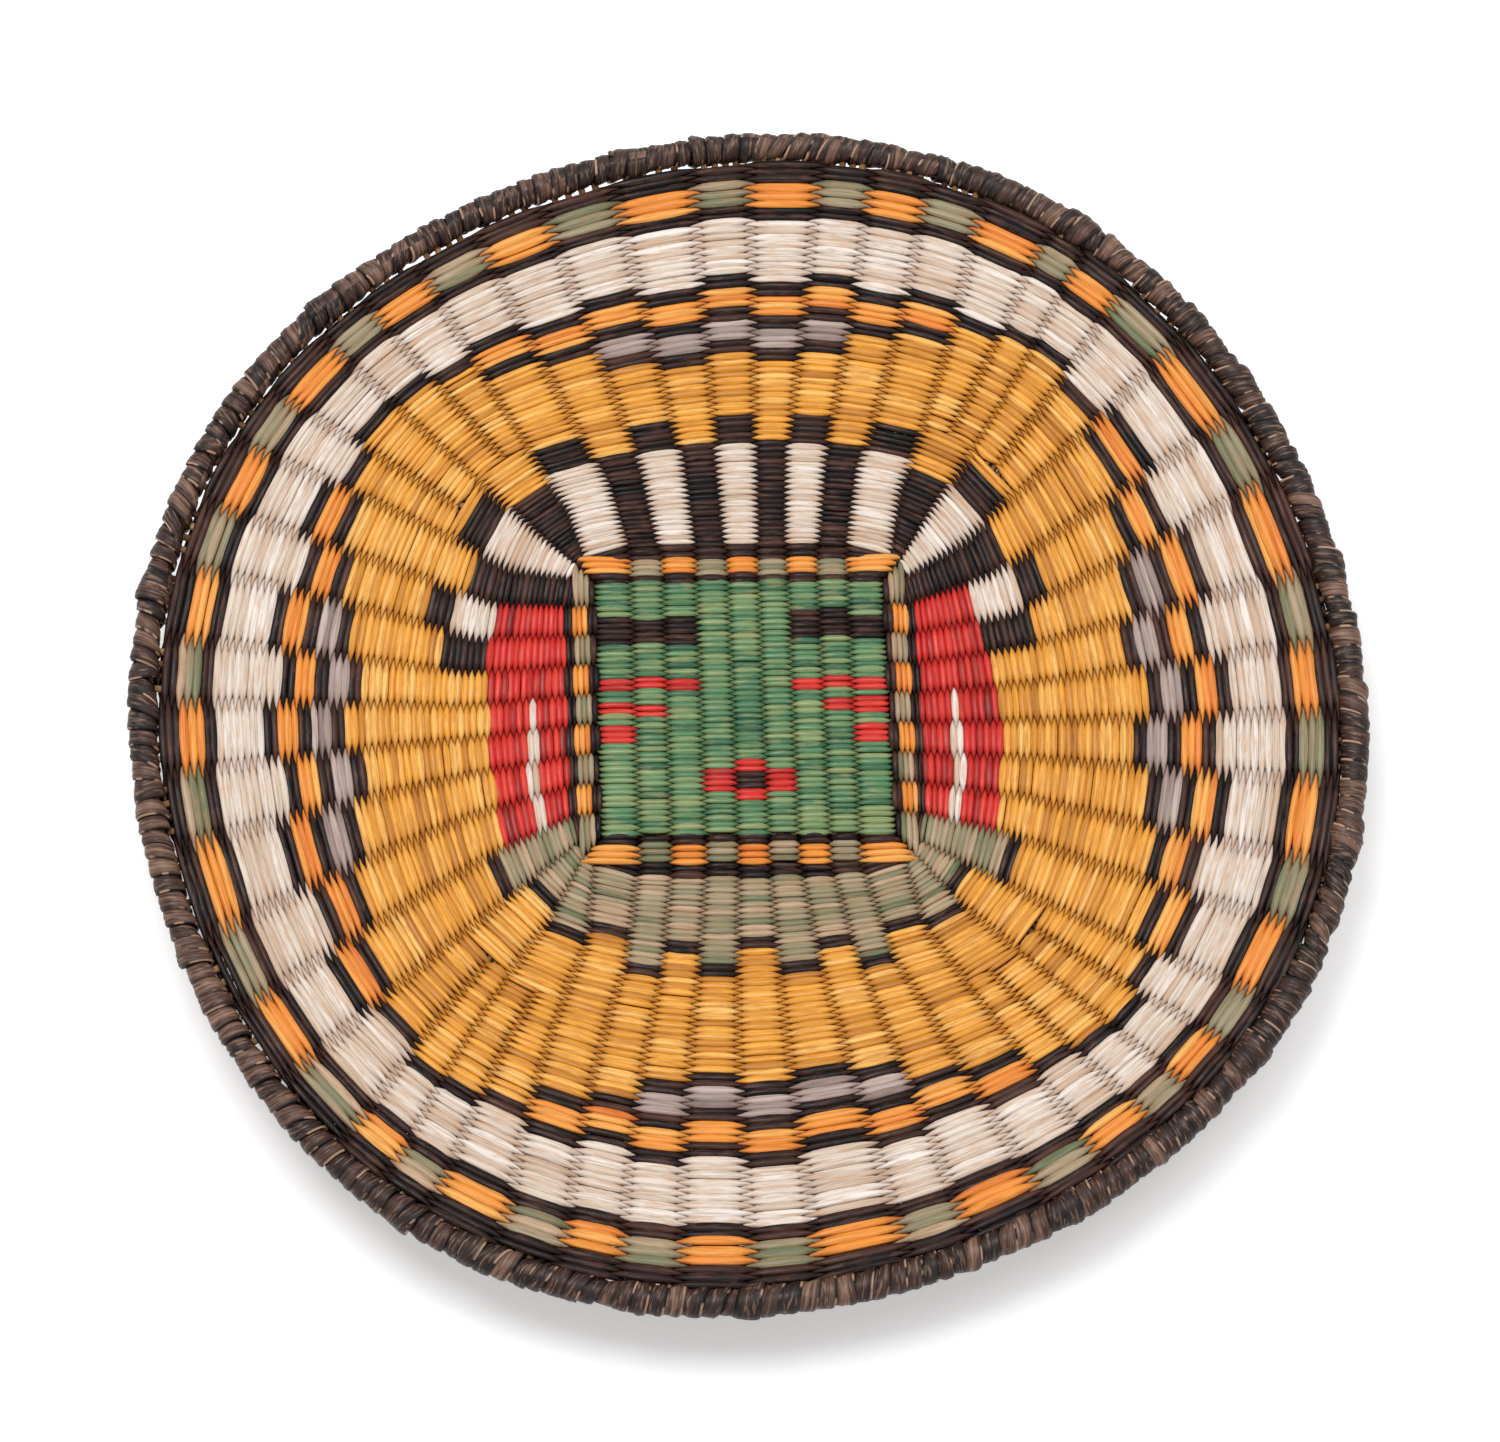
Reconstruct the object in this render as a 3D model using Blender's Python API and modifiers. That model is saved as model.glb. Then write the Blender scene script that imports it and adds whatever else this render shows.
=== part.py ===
"""Round wicker plaque, about 361 mm across, lying face up on the underside of its back mat.

Eighteen rod bundles are woven into two mats of nine. The mats are crossed over each other, and their
bundles run on as ribs to the rim, with eight forked bundles let in at the corners. Rings of weft go over
and under the ribs, and the rim is a core of rods wrapped with strips of leaf.
Units are metres, with +Z up from the back to the front and +Y towards the top of the woven figure.
"""

import math

import bmesh
import bpy
from mathutils import Vector

# Counts of ribs: each side has nine from a mat and two corner bundles that fork into two ribs each
SIDES = 4
STRAIGHT_RIBS = 9
RIBS_PER_SIDE = 13
RIBS = SIDES * RIBS_PER_SIDE

# Play between pieces that touch, and how far a cutter runs past what it cuts
CLEARANCE = 0.0003
CUT_OVERRUN = 0.0015
MERGE_DISTANCE = 0.00001

# Rod bundles and the weft over them
BUNDLE_THICKNESS = 0.0026
BUNDLE_WIDTH_SHARE = 0.62
WEFT_THICKNESS = 0.0017
VALLEY_THICKNESS = 0.0036

# Crossed mats at the middle
MAT_WIDTH = 0.0920
MAT_HEIGHT = 0.0836
MAT_CENTRE_X = -0.0012
MAT_CENTRE_Y = 0.0022
MAT_TURN = 2.0
MAT_WEFT_THICKNESS = 0.0013
MAT_VALLEY_THICKNESS = 0.0040
COLUMN_SHARES = (0.151, 0.102, 0.110, 0.102, 0.099, 0.095, 0.099, 0.095, 0.147)
ROW_SHARES = (1 / STRAIGHT_RIBS,) * STRAIGHT_RIBS

# Border round that frames the mats
BORDER_SIDE_WIDTH = 0.0043
BORDER_END_WIDTH = 0.0054
BORDER_THICKNESS = 0.0110
BORDER_VALLEY_THICKNESS = 0.0104
BORDER_CORNER_DRAW = 0.0022

# Dish of the plaque: its rise is nothing inside the start radius and grows to the full rise
DISH_START_RADIUS = 0.0450
DISH_END_RADIUS = 0.1840
DISH_RISE = 0.0240
DISH_POWER = 1.5

# Rim
RIM_RADIUS = 0.1805
RIM_THICKNESS = 0.0076
WRAP_WALL = 0.0012
WRAP_DIP_SHARE = 0.92
WRAP_RIDGE_STEP = 6.0
RIM_LOBES = ((2, 0.0009, 104.0), (4, 0.0018, -109.0))
RIM_GAP = 0.0024
CORE_POINTS = 48

# Rings of weft outside the border: outer radius midway along a side, and its growth at the corners
FIGURE_RADIUS = 0.0920
FIELD_RADIUS = 0.1410
PALE_RADIUS = 0.1570
FIGURE_CORNER_SHARE = 0.070
FIELD_CORNER_SHARE = 0.030
PALE_CORNER_SHARE = 0.022

# Angles of the lines between neighbouring ribs, in degrees, side by side: right, top, left, bottom
NEAR_RADIUS = 0.0850
NEAR_ANGLES = (
    (-35.0, -25.5, -17.3, -9.0, -1.2, 6.8, 14.4, 22.0, 31.0, 40.3, 49.5),
    (57.7, 67.0, 74.3, 82.0, 88.6, 96.5, 103.8, 112.2, 120.0, 129.5, 138.0),
    (147.2, 155.8, 163.5, 171.2, 178.3, 185.2, 192.7, 201.0, 209.8, 218.8, 227.5),
    (236.5, 245.3, 252.7, 260.0, 268.0, 276.5, 285.5, 293.0, 299.7, 308.0, 317.0),
)
FORK_RADIUS = 0.1080
FORK_RELIEF = 0.0030
FORK_ANGLES = ((46.0, 55.5), (132.5, 143.5), (225.5, 234.5), (311.5, 321.5))
FAR_RADIUS = 0.1650
FAR_ANGLES = (
    (-31.7, -23.7, -17.0, -8.5, -1.5, 5.8, 13.3, 23.8, 31.3, 41.0, 48.8, 54.2, 58.2),
    (65.5, 71.3, 77.3, 82.6, 90.0, 95.7, 104.2, 111.8, 119.3, 126.0, 132.8, 138.3, 145.8),
    (152.0, 159.3, 166.0, 173.8, 180.5, 187.8, 195.3, 205.0, 213.0, 221.0, 229.0, 234.2, 239.0),
    (246.2, 252.2, 257.8, 263.5, 270.5, 276.5, 285.3, 291.3, 299.3, 306.0, 312.3, 317.0, 322.8),
)

# Radii where a rib bends to follow the dish, between the border and the rim
RIB_STATIONS = (0.0760, FORK_RADIUS, FIELD_RADIUS)
CORNER_BUNDLE_START = 0.0685

# Ends of the leaf strips round the rim, in degrees
STRIP_ENDS = (22.0, 56.0, 82.0, 102.0, 136.0, 169.0, 206.0, 238.0, 270.0, 301.0, 324.0, 346.0)

# Levels worked out from the thicknesses
CROWN = BUNDLE_THICKNESS / 2 + CLEARANCE + WEFT_THICKNESS
MAT_CROWN = BUNDLE_THICKNESS / 2 + CLEARANCE + MAT_WEFT_THICKNESS
BACK_LEVEL = MAT_CROWN
FIELD_LEVEL = 2 * MAT_CROWN + CLEARANCE / 2
FRONT_LEVEL = 3 * MAT_CROWN + CLEARANCE
CORE_RADIUS = RIM_THICKNESS / 2 - WRAP_WALL - CLEARANCE
BORDER_X = MAT_WIDTH / 2 + CLEARANCE + BORDER_SIDE_WIDTH
BORDER_Y = MAT_HEIGHT / 2 + CLEARANCE + BORDER_END_WIDTH

COLOURS = {
    "wood": ((0.584, 0.366, 0.144), 0.6),
    "green": ((0.112, 0.296, 0.136), 0.5),
    "dark": ((0.024, 0.018, 0.016), 0.45),
    "sage": ((0.275, 0.262, 0.150), 0.55),
    "ochre": ((0.738, 0.361, 0.045), 0.5),
    "cream": ((0.807, 0.723, 0.645), 0.65),
    "orange": ((0.871, 0.279, 0.028), 0.5),
    "brown": ((0.069, 0.042, 0.037), 0.5),
}


def polar(radius, degrees):
    """A plan point from its radius and its angle."""
    turn = math.radians(degrees)
    return Vector((radius * math.cos(turn), radius * math.sin(turn)))


def dish_level(point):
    """Height of the middle of the weave under a plan point."""
    run = max(point.length - DISH_START_RADIUS, 0) / (DISH_END_RADIUS - DISH_START_RADIUS)
    return FIELD_LEVEL + DISH_RISE * run ** DISH_POWER


def rim_radius(degrees):
    """Outer radius of the rim, with its slow lobes."""
    lobes = sum(size * math.cos(math.radians(waves * degrees - phase)) for waves, size, phase in RIM_LOBES)
    return RIM_RADIUS + lobes


def mat_point(x, y):
    """A plan point given along and across the turned mats."""
    turn = math.radians(MAT_TURN)
    return Vector((MAT_CENTRE_X + x * math.cos(turn) - y * math.sin(turn),
                   MAT_CENTRE_Y + x * math.sin(turn) + y * math.cos(turn)))


def lines_between(shares, length):
    """Places of the lines between ribs across a mat, from its low side to its high side."""
    total = sum(shares)
    return [length * (sum(shares[:count]) / total - 1 / 2) for count in range(len(shares) + 1)]


COLUMN_LINES = lines_between(COLUMN_SHARES, MAT_WIDTH)
ROW_LINES = lines_between(ROW_SHARES, MAT_HEIGHT)


def frame_point(line, grow):
    """Where a line between ribs crosses a frame that lies outside the border by grow."""
    side, step = divmod(line % RIBS, RIBS_PER_SIDE)
    far_x = BORDER_X + grow
    far_y = BORDER_Y + grow
    if step > STRAIGHT_RIBS:
        draw = BORDER_CORNER_DRAW
        corner = ((far_x - draw, far_y - draw), (draw - far_x, far_y - draw),
                  (draw - far_x, draw - far_y), (far_x - draw, draw - far_y))[side]
        last = frame_point(line - step + STRAIGHT_RIBS, grow)
        first = frame_point(line - step + RIBS_PER_SIDE, grow)
        middle = mat_point(*corner)
        if step == 10:
            return (last + middle) / 2
        if step == 12:
            return (middle + first) / 2
        return middle
    across = (ROW_LINES[step], COLUMN_LINES[-1 - step], ROW_LINES[-1 - step], COLUMN_LINES[step])[side]
    place = ((far_x, across), (across, far_y), (-far_x, across), (across, -far_y))[side]
    return mat_point(*place)


def line_angle(line, radius):
    """Angle of a line between ribs at a radius from the near one outwards."""
    turns, place = divmod(line, RIBS)
    side, step = divmod(place, RIBS_PER_SIDE)
    far = FAR_ANGLES[side][step]
    near_radius = NEAR_RADIUS
    if step <= STRAIGHT_RIBS:
        near = NEAR_ANGLES[side][step]
    elif step == 11:
        near = NEAR_ANGLES[side][10]
    else:
        near = FORK_ANGLES[side][0 if step == 10 else 1]
        near_radius = FORK_RADIUS
    share = (radius - near_radius) / (FAR_RADIUS - near_radius)
    return near + (far - near) * min(max(share, 0), 1) + 360 * turns


def line_point(line, radius):
    """Where a line between ribs stands at a radius outside the border."""
    if radius >= NEAR_RADIUS:
        return polar(radius, line_angle(line, radius))
    start = frame_point(line, 0)
    share = max((radius - start.length) / (NEAR_RADIUS - start.length), 0)
    return start.lerp(polar(NEAR_RADIUS, line_angle(line, NEAR_RADIUS)), share)


def round_point(line, radius, corner_share):
    """Where a line between ribs crosses a round that swells towards the corners."""
    angle = math.radians(line_angle(line, radius) - MAT_TURN)
    return line_point(line, radius * (1 + corner_share * math.sin(2 * angle) ** 2))


def edge_point(line):
    """Where a line between ribs meets the outer edge of the weave."""
    angle = line_angle(line, FAR_RADIUS)
    return polar(rim_radius(angle) - RIM_THICKNESS - RIM_GAP, angle)


def make_material(name, colour):
    """A plain material of its own for one piece."""
    tint, roughness = COLOURS[colour]
    material = bpy.data.materials.new(name)
    material.use_nodes = True
    shader = material.node_tree.nodes["Principled BSDF"]
    shader.inputs["Base Color"].default_value = (*tint, 1.0)
    shader.inputs["Roughness"].default_value = roughness
    shader.inputs["Metallic"].default_value = 0.0
    return material


def add_piece(name, mesh, collection, colour=None):
    """Put a mesh in the scene as a named object, finished or as a hidden cutter."""
    piece = bpy.data.objects.new(name, mesh)
    collection.objects.link(piece)
    if colour:
        mesh.materials.append(make_material(name, colour))
    else:
        piece.hide_render = True
        piece.display_type = "WIRE"
    return piece


def mesh_from(shape, name):
    """Turn a finished closed bmesh into mesh data whose faces point outwards."""
    bmesh.ops.recalc_face_normals(shape, faces=shape.faces)
    mesh = bpy.data.meshes.new(name)
    shape.to_mesh(mesh)
    shape.free()
    return mesh


def add_cut(piece, cutters):
    """Cut every cutter of a collection out of a piece."""
    cut = piece.modifiers.new("tunnels", "BOOLEAN")
    cut.operation = "DIFFERENCE"
    cut.solver = "EXACT"
    cut.operand_type = "COLLECTION"
    cut.collection = cutters


def widened(left, right, extra):
    """Two edge points of a flat bundle, moved apart by extra on each side."""
    outward = (right - left).normalized() * extra
    return left - outward, right + outward


def rib_pair(first_line, last_line, radius):
    """Left and right edge of a rib bundle between two lines at a radius."""
    first = line_point(first_line, radius)
    last = line_point(last_line, radius)
    middle = (first + last) / 2
    reach = (last - first) * BUNDLE_WIDTH_SHARE / 2
    return middle - reach, middle + reach


def lifted(point, level=None):
    """A plan point at a level, or on the dish."""
    return Vector((point.x, point.y, dish_level(point) if level is None else level))


def rib_end_radius(rib):
    """Where a rib stops short of the rim's wrapping, with extra length for a cutter."""
    angle = (line_angle(rib, FAR_RADIUS) + line_angle(rib + 1, FAR_RADIUS)) / 2
    return rim_radius(angle) - RIM_THICKNESS - CLEARANCE


def outer_run(rib, extra, overrun, start_radii):
    """Edge pairs of one rib from the given radii out to the rim."""
    radii = [*start_radii, rib_end_radius(rib) + overrun]
    pairs = []
    for radius in radii:
        left, right = widened(*rib_pair(rib, rib + 1, radius), extra)
        pairs.append((lifted(left), lifted(right)))
    return pairs


def mat_half(side, step, level, extra, overrun):
    """Edge pairs of half a mat bundle, from the mat's edge out to the rim."""
    rib = side * RIBS_PER_SIDE + step
    lines = (ROW_LINES, COLUMN_LINES[::-1], ROW_LINES[::-1], COLUMN_LINES)[side]
    middle = (lines[step] + lines[step + 1]) / 2
    half = abs(lines[step + 1] - lines[step]) * BUNDLE_WIDTH_SHARE / 2 + extra
    reach_x = MAT_WIDTH / 2
    reach_y = MAT_HEIGHT / 2
    ends = (((reach_x, middle - half), (reach_x, middle + half)),
            ((middle + half, reach_y), (middle - half, reach_y)),
            ((-reach_x, middle + half), (-reach_x, middle - half)),
            ((middle - half, -reach_y), (middle + half, -reach_y)))[side]
    pairs = [tuple(lifted(mat_point(*end), level) for end in ends)]
    first = frame_point(rib, CLEARANCE)
    last = frame_point(rib + 1, CLEARANCE)
    centre = (first + last) / 2
    across = (last - first) * BUNDLE_WIDTH_SHARE / 2
    left, right = widened(centre - across, centre + across, extra)
    pairs.append((lifted(left), lifted(right)))
    return pairs + outer_run(rib, extra, overrun, RIB_STATIONS)


def sheet_from_runs(runs):
    """A flat sheet laid along runs of edge pairs, joined where the runs share a line."""
    shape = bmesh.new()
    for run in runs:
        steps = len(run) - 1
        corners = bmesh.ops.create_grid(shape, x_segments=steps, y_segments=1, size=1)["verts"]
        for corner in corners:
            left, right = run[round((corner.co.x + 1) / 2 * steps)]
            corner.co = right if corner.co.y > 0 else left
    bmesh.ops.remove_doubles(shape, verts=shape.verts, dist=MERGE_DISTANCE)
    return shape


def add_bundle(name, runs, thickness, collection, colour=None):
    """A flat rod bundle, or its wider cutter, from the runs of its two edges."""
    shape = sheet_from_runs(runs)
    bmesh.ops.recalc_face_normals(shape, faces=shape.faces)
    mesh = bpy.data.meshes.new(name)
    shape.to_mesh(mesh)
    shape.free()
    piece = add_piece(name, mesh, collection, colour)
    wall = piece.modifiers.new("thickness", "SOLIDIFY")
    wall.thickness = thickness
    wall.offset = 0
    wall.use_even_offset = True
    return piece


def mat_runs(kind, number, extra, overrun):
    """The run of one long bundle from rim to rim through its mat."""
    side, level = (1, FRONT_LEVEL) if kind == "front" else (0, BACK_LEVEL)
    start = mat_half(side + 2, STRAIGHT_RIBS - 1 - number, level, extra, overrun)
    end = mat_half(side, number, level, extra, overrun)
    return [[(right, left) for left, right in reversed(start)] + end]


def corner_runs(side, pair, extra, overrun, relief):
    """The two runs of a forked corner bundle, which share a middle line up to the fork."""
    rib = side * RIBS_PER_SIDE + STRAIGHT_RIBS + 2 * pair
    low = []
    high = []
    for radius in (CORNER_BUNDLE_START - overrun, NEAR_RADIUS, FORK_RADIUS):
        left, right = rib_pair(rib, rib + 2, radius)
        left, right = widened(left, right, extra)
        middle = (left + right) / 2
        low.append((lifted(left), lifted(middle)))
        high.append((lifted(middle), lifted(right)))
    low_arm = outer_run(rib, extra, overrun, (FIELD_RADIUS,))
    high_arm = outer_run(rib + 1, extra, overrun, (FIELD_RADIUS,))
    if relief:
        share = relief / (FIELD_RADIUS - FORK_RADIUS)
        web = low[-1][1].lerp((low_arm[0][1] + high_arm[0][0]) / 2, share)
        low.append((low[-1][0].lerp(low_arm[0][0], share), web))
        high.append((web, high[-1][1].lerp(high_arm[0][1], share)))
    return [low + low_arm, high + high_arm]


def add_ring(name, columns, stations, place, collection, colour, cutters):
    """A closed ring spun from a flat unit profile, each corner of which is then put in its place."""
    shape = bmesh.new()
    lower = [shape.verts.new((1 + station, 0, -1)) for station in range(stations)]
    upper = [shape.verts.new((1 + station, 0, 1)) for station in reversed(range(stations))]
    loop = lower + upper
    edges = [shape.edges.new((loop[index - 1], loop[index])) for index in range(len(loop))]
    bmesh.ops.spin(shape, geom=loop + edges, cent=(0, 0, 0), axis=(0, 0, 1), angle=2 * math.pi,
                   steps=columns, use_merge=True)
    for corner in shape.verts:
        column = round(math.atan2(corner.co.y, corner.co.x) / (2 * math.pi) * columns) % columns
        station = round(corner.co.xy.length) - 1
        corner.co = place(column, station, corner.co.z)
    ring = add_piece(name, mesh_from(shape, name), collection, colour)
    add_cut(ring, cutters)
    return ring


def ring_place(ribs, inner, outer, stations):
    """Places for a ring of weft: crowned over each rib, dipped on the lines between ribs."""
    def place(column, station, side):
        share = station / (stations - 1)
        number, on_rib = divmod(column, 2)
        first, last = ribs[number]
        ends = (first, last) if on_rib else (first,)
        point = sum((inner(line).lerp(outer(line), share) for line in ends), Vector((0, 0))) / len(ends)
        before_fork = first % RIBS_PER_SIDE in (10, 12) and point.length < FORK_RADIUS
        half = CROWN if on_rib or before_fork else VALLEY_THICKNESS / 2
        return lifted(point, dish_level(point) + side * half)
    return place


def border_place(column, station, side):
    """Places for the border round, flat and square cornered, with a column at each line and rib."""
    columns_per_side = 2 * STRAIGHT_RIBS + 2
    quarter, step = divmod(column, columns_per_side)
    grow = (-BORDER_SIDE_WIDTH, -BORDER_END_WIDTH, -BORDER_SIDE_WIDTH, -BORDER_END_WIDTH)[quarter]
    line = quarter * RIBS_PER_SIDE + min(step // 2, STRAIGHT_RIBS)
    on_rib = step % 2 == 1 and step < 2 * STRAIGHT_RIBS
    if step == columns_per_side - 1:
        outer = frame_point(line + 2, 0)
        corner_x = BORDER_X - BORDER_SIDE_WIDTH
        corner_y = BORDER_Y - BORDER_END_WIDTH
        inner = mat_point(*((corner_x, corner_y), (-corner_x, corner_y),
                            (-corner_x, -corner_y), (corner_x, -corner_y))[quarter])
    else:
        ends = [line, line + 1] if on_rib else [line]
        outer = sum((frame_point(end, 0) for end in ends), Vector((0, 0))) / len(ends)
        inner = sum((frame_point(end, grow) for end in ends), Vector((0, 0))) / len(ends)
    half = BORDER_THICKNESS / 2 if on_rib else BORDER_VALLEY_THICKNESS / 2
    point = outer if station else inner
    return lifted(point, FIELD_LEVEL + side * half)


def add_mat_weft(name, lines, length, level, turn, flat_below, collection, colour, cutters):
    """The weft of one mat: a slab with a crown over each bundle, extruded along the bundles."""
    top = []
    for index, line in enumerate(lines):
        top.append((line, MAT_VALLEY_THICKNESS / 2))
        if index < len(lines) - 1:
            top.append(((line + lines[index + 1]) / 2, MAT_CROWN))
    if flat_below:
        below = [(lines[-1], -MAT_CROWN), (lines[0], -MAT_CROWN)]
    else:
        below = [(across, -height) for across, height in reversed(top)]
    shape = bmesh.new()
    outline = shape.faces.new([shape.verts.new((x, -length / 2, z)) for x, z in top + below])
    copy = bmesh.ops.extrude_face_region(shape, geom=[outline])["geom"]
    moved = [corner for corner in copy if isinstance(corner, bmesh.types.BMVert)]
    bmesh.ops.translate(shape, verts=moved, vec=(0, length, 0))
    slab = add_piece(name, mesh_from(shape, name), collection, colour)
    slab.location = (MAT_CENTRE_X, MAT_CENTRE_Y, level)
    slab.rotation_euler.z = math.radians(MAT_TURN + turn)
    add_cut(slab, cutters)
    return slab


def rim_spot(degrees):
    """Middle of the rim's section at an angle."""
    point = polar(rim_radius(degrees) - RIM_THICKNESS / 2, degrees)
    return lifted(point, dish_level(polar(RIM_RADIUS - RIM_THICKNESS / 2, 0)))


def tube_mesh(name, spots, radius, shares, closed, resolution):
    """Mesh of a tube along spots, with welded caps where it is not closed."""
    curve = bpy.data.curves.new(name, "CURVE")
    curve.dimensions = "3D"
    curve.bevel_depth = radius
    curve.bevel_resolution = resolution
    curve.use_fill_caps = not closed
    spline = curve.splines.new("POLY")
    spline.points.add(len(spots) - 1)
    for point, spot, share in zip(spline.points, spots, shares):
        point.co = (*spot, 1)
        point.radius = share
    spline.use_cyclic_u = closed
    path = bpy.data.objects.new(name, curve)
    bpy.context.scene.collection.objects.link(path)
    bpy.context.view_layer.update()
    mesh = bpy.data.meshes.new_from_object(path.evaluated_get(bpy.context.evaluated_depsgraph_get()))
    bpy.data.objects.remove(path)
    shape = bmesh.new()
    shape.from_mesh(mesh)
    bmesh.ops.remove_doubles(shape, verts=shape.verts, dist=MERGE_DISTANCE)
    return mesh_from(shape, name)


def add_rim(parts, cutters):
    """The rod core of the rim and the leaf strips wound round it."""
    angles = [360 * index / CORE_POINTS for index in range(CORE_POINTS)]
    core = tube_mesh("rim_core", [rim_spot(angle) for angle in angles], CORE_RADIUS,
                     [1] * CORE_POINTS, True, 1)
    add_piece("rim_core", core, parts, "wood")
    bore = tube_mesh("rim_bore", [rim_spot(angle) for angle in angles], CORE_RADIUS + CLEARANCE,
                     [1] * CORE_POINTS, True, 1)
    add_piece("rim_bore", bore, cutters)
    half_gap = math.degrees(CLEARANCE / 2 / RIM_RADIUS)
    for index, first in enumerate(STRIP_ENDS):
        last = STRIP_ENDS[(index + 1) % len(STRIP_ENDS)]
        last += 360 * (last < first)
        first += half_gap
        last -= half_gap
        steps = 2 * round((last - first) / WRAP_RIDGE_STEP)
        spots = [rim_spot(first + (last - first) * step / steps) for step in range(steps + 1)]
        shares = [1 if step % 2 == 0 else WRAP_DIP_SHARE for step in range(steps + 1)]
        name = f"rim_wrap_strip_{index + 1:02d}"
        strip = add_piece(name, tube_mesh(name, spots, RIM_THICKNESS / 2, shares, False, 1), parts, "brown")
        add_cut(strip, cutters)


def new_collection(name):
    """A new collection in the scene."""
    collection = bpy.data.collections.new(name)
    bpy.context.scene.collection.children.link(collection)
    return collection


def clear_scene():
    """Remove the objects that the scene starts with."""
    for item in list(bpy.data.objects):
        bpy.data.objects.remove(item, do_unlink=True)


def add_bundles(parts, tunnels):
    """All rod bundles, each with the wider cutter that makes its tunnel through the weft."""
    wide = BUNDLE_THICKNESS + 2 * CLEARANCE
    for kind in ("front", "back"):
        for number in range(STRAIGHT_RIBS):
            name = f"{kind}_rib_bundle_{number + 1}"
            add_bundle(name, mat_runs(kind, number, 0, 0), BUNDLE_THICKNESS, parts, "wood")
            add_bundle(name + "_tunnel", mat_runs(kind, number, CLEARANCE, CUT_OVERRUN), wide, tunnels)
    for corner in range(SIDES * 2):
        side, pair = divmod(corner, 2)
        name = f"corner_rib_bundle_{corner + 1}"
        add_bundle(name, corner_runs(side, pair, 0, 0, 0), BUNDLE_THICKNESS, parts, "wood")
        cutter_runs = corner_runs(side, pair, CLEARANCE, CUT_OVERRUN, FORK_RELIEF)
        add_bundle(name + "_tunnel", cutter_runs, wide, tunnels)


def add_weft(parts, tunnels):
    """The weft of both mats, the border round and the four rings outside it."""
    add_mat_weft("back_mat_weft", ROW_LINES, MAT_WIDTH, BACK_LEVEL, -90, True, parts, "ochre", tunnels)
    add_mat_weft("front_mat_weft", COLUMN_LINES, MAT_HEIGHT, FRONT_LEVEL, 0, False, parts, "green", tunnels)
    border_columns = SIDES * (2 * STRAIGHT_RIBS + 2)
    add_ring("border_weft_round", border_columns, 2, border_place, parts, "orange", tunnels)
    half_gap = CLEARANCE / 2
    rounds = ((FIGURE_RADIUS, FIGURE_CORNER_SHARE), (FIELD_RADIUS, FIELD_CORNER_SHARE),
              (PALE_RADIUS, PALE_CORNER_SHARE))
    inner_edges = [lambda line: frame_point(line, CLEARANCE)]
    outer_edges = []
    for radius, share in rounds:
        outer_edges.append(lambda line, r=radius, s=share: round_point(line, r - half_gap, s))
        inner_edges.append(lambda line, r=radius, s=share: round_point(line, r + half_gap, s))
    outer_edges.append(edge_point)
    single = [(line, line + 1) for line in range(RIBS)]
    trunks = [(line, line + 1 + (line % RIBS_PER_SIDE >= STRAIGHT_RIBS)) for line in range(RIBS)
              if line % RIBS_PER_SIDE not in (10, 12)]
    rings = (("figure_weft_ring", trunks, 3, "sage"), ("field_weft_ring", single, 2, "ochre"),
             ("pale_weft_ring", single, 2, "cream"), ("edge_weft_ring", single, 2, "dark"))
    for (name, ribs, stations, colour), inner, outer in zip(rings, inner_edges, outer_edges):
        place = ring_place(ribs, inner, outer, stations)
        add_ring(name, 2 * len(ribs), stations, place, parts, colour, tunnels)


def build_plaque():
    """Build the whole plaque."""
    clear_scene()
    parts = new_collection("basketry_plaque")
    tunnels = new_collection("tunnel_cutters")
    bores = new_collection("bore_cutters")
    add_bundles(parts, tunnels)
    add_weft(parts, tunnels)
    add_rim(parts, bores)


build_plaque()
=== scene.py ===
"""Round wicker plaque, dressed strand by strand over its CAD frame.

Each strand of weft is a closed tube that goes over and under the rod bundles, and its dye changes from
float to float, so the woven figure comes out of the weave itself. The rods fan out to a rim of rods that
is wrapped with strips of leaf. Units are metres, and the plaque lies face up.
"""

import math

import bmesh
import bpy
import numpy as np
from mathutils import Matrix, Vector


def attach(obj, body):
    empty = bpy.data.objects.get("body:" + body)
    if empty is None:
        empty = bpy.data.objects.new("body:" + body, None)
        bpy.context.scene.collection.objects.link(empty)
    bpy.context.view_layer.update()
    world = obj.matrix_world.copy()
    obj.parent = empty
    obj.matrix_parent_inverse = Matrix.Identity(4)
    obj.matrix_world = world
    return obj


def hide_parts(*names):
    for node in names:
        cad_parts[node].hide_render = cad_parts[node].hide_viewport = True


bl_info = {
    "name": "Woven wicker plaque",
    "version": (1, 0, 0),
    "blender": (4, 5, 0),
    "location": "View3D > Sidebar > Plaque",
    "description": "Builds a round plaque of dyed twigs woven over rod bundles",
    "category": "Add Mesh",
}

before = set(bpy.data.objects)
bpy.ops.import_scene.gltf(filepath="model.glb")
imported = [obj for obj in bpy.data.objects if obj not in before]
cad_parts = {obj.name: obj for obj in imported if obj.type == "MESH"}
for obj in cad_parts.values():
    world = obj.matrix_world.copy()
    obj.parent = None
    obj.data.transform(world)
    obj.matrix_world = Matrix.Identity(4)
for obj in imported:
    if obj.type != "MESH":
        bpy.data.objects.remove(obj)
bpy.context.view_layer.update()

# Ribs: each side has nine from a mat and two corner bundles that fork into two ribs each
SIDES = 4
STRAIGHT_RIBS = 9
RIBS_PER_SIDE = 13
RIBS = SIDES * RIBS_PER_SIDE
RIGHT_CENTRE_RIB = 4
# Counted along a side: the lines that start in a fork, and the two ribs beside the corner's middle
FORK_LINES = (10, 12)
INNER_ARMS = (10, 11)

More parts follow.
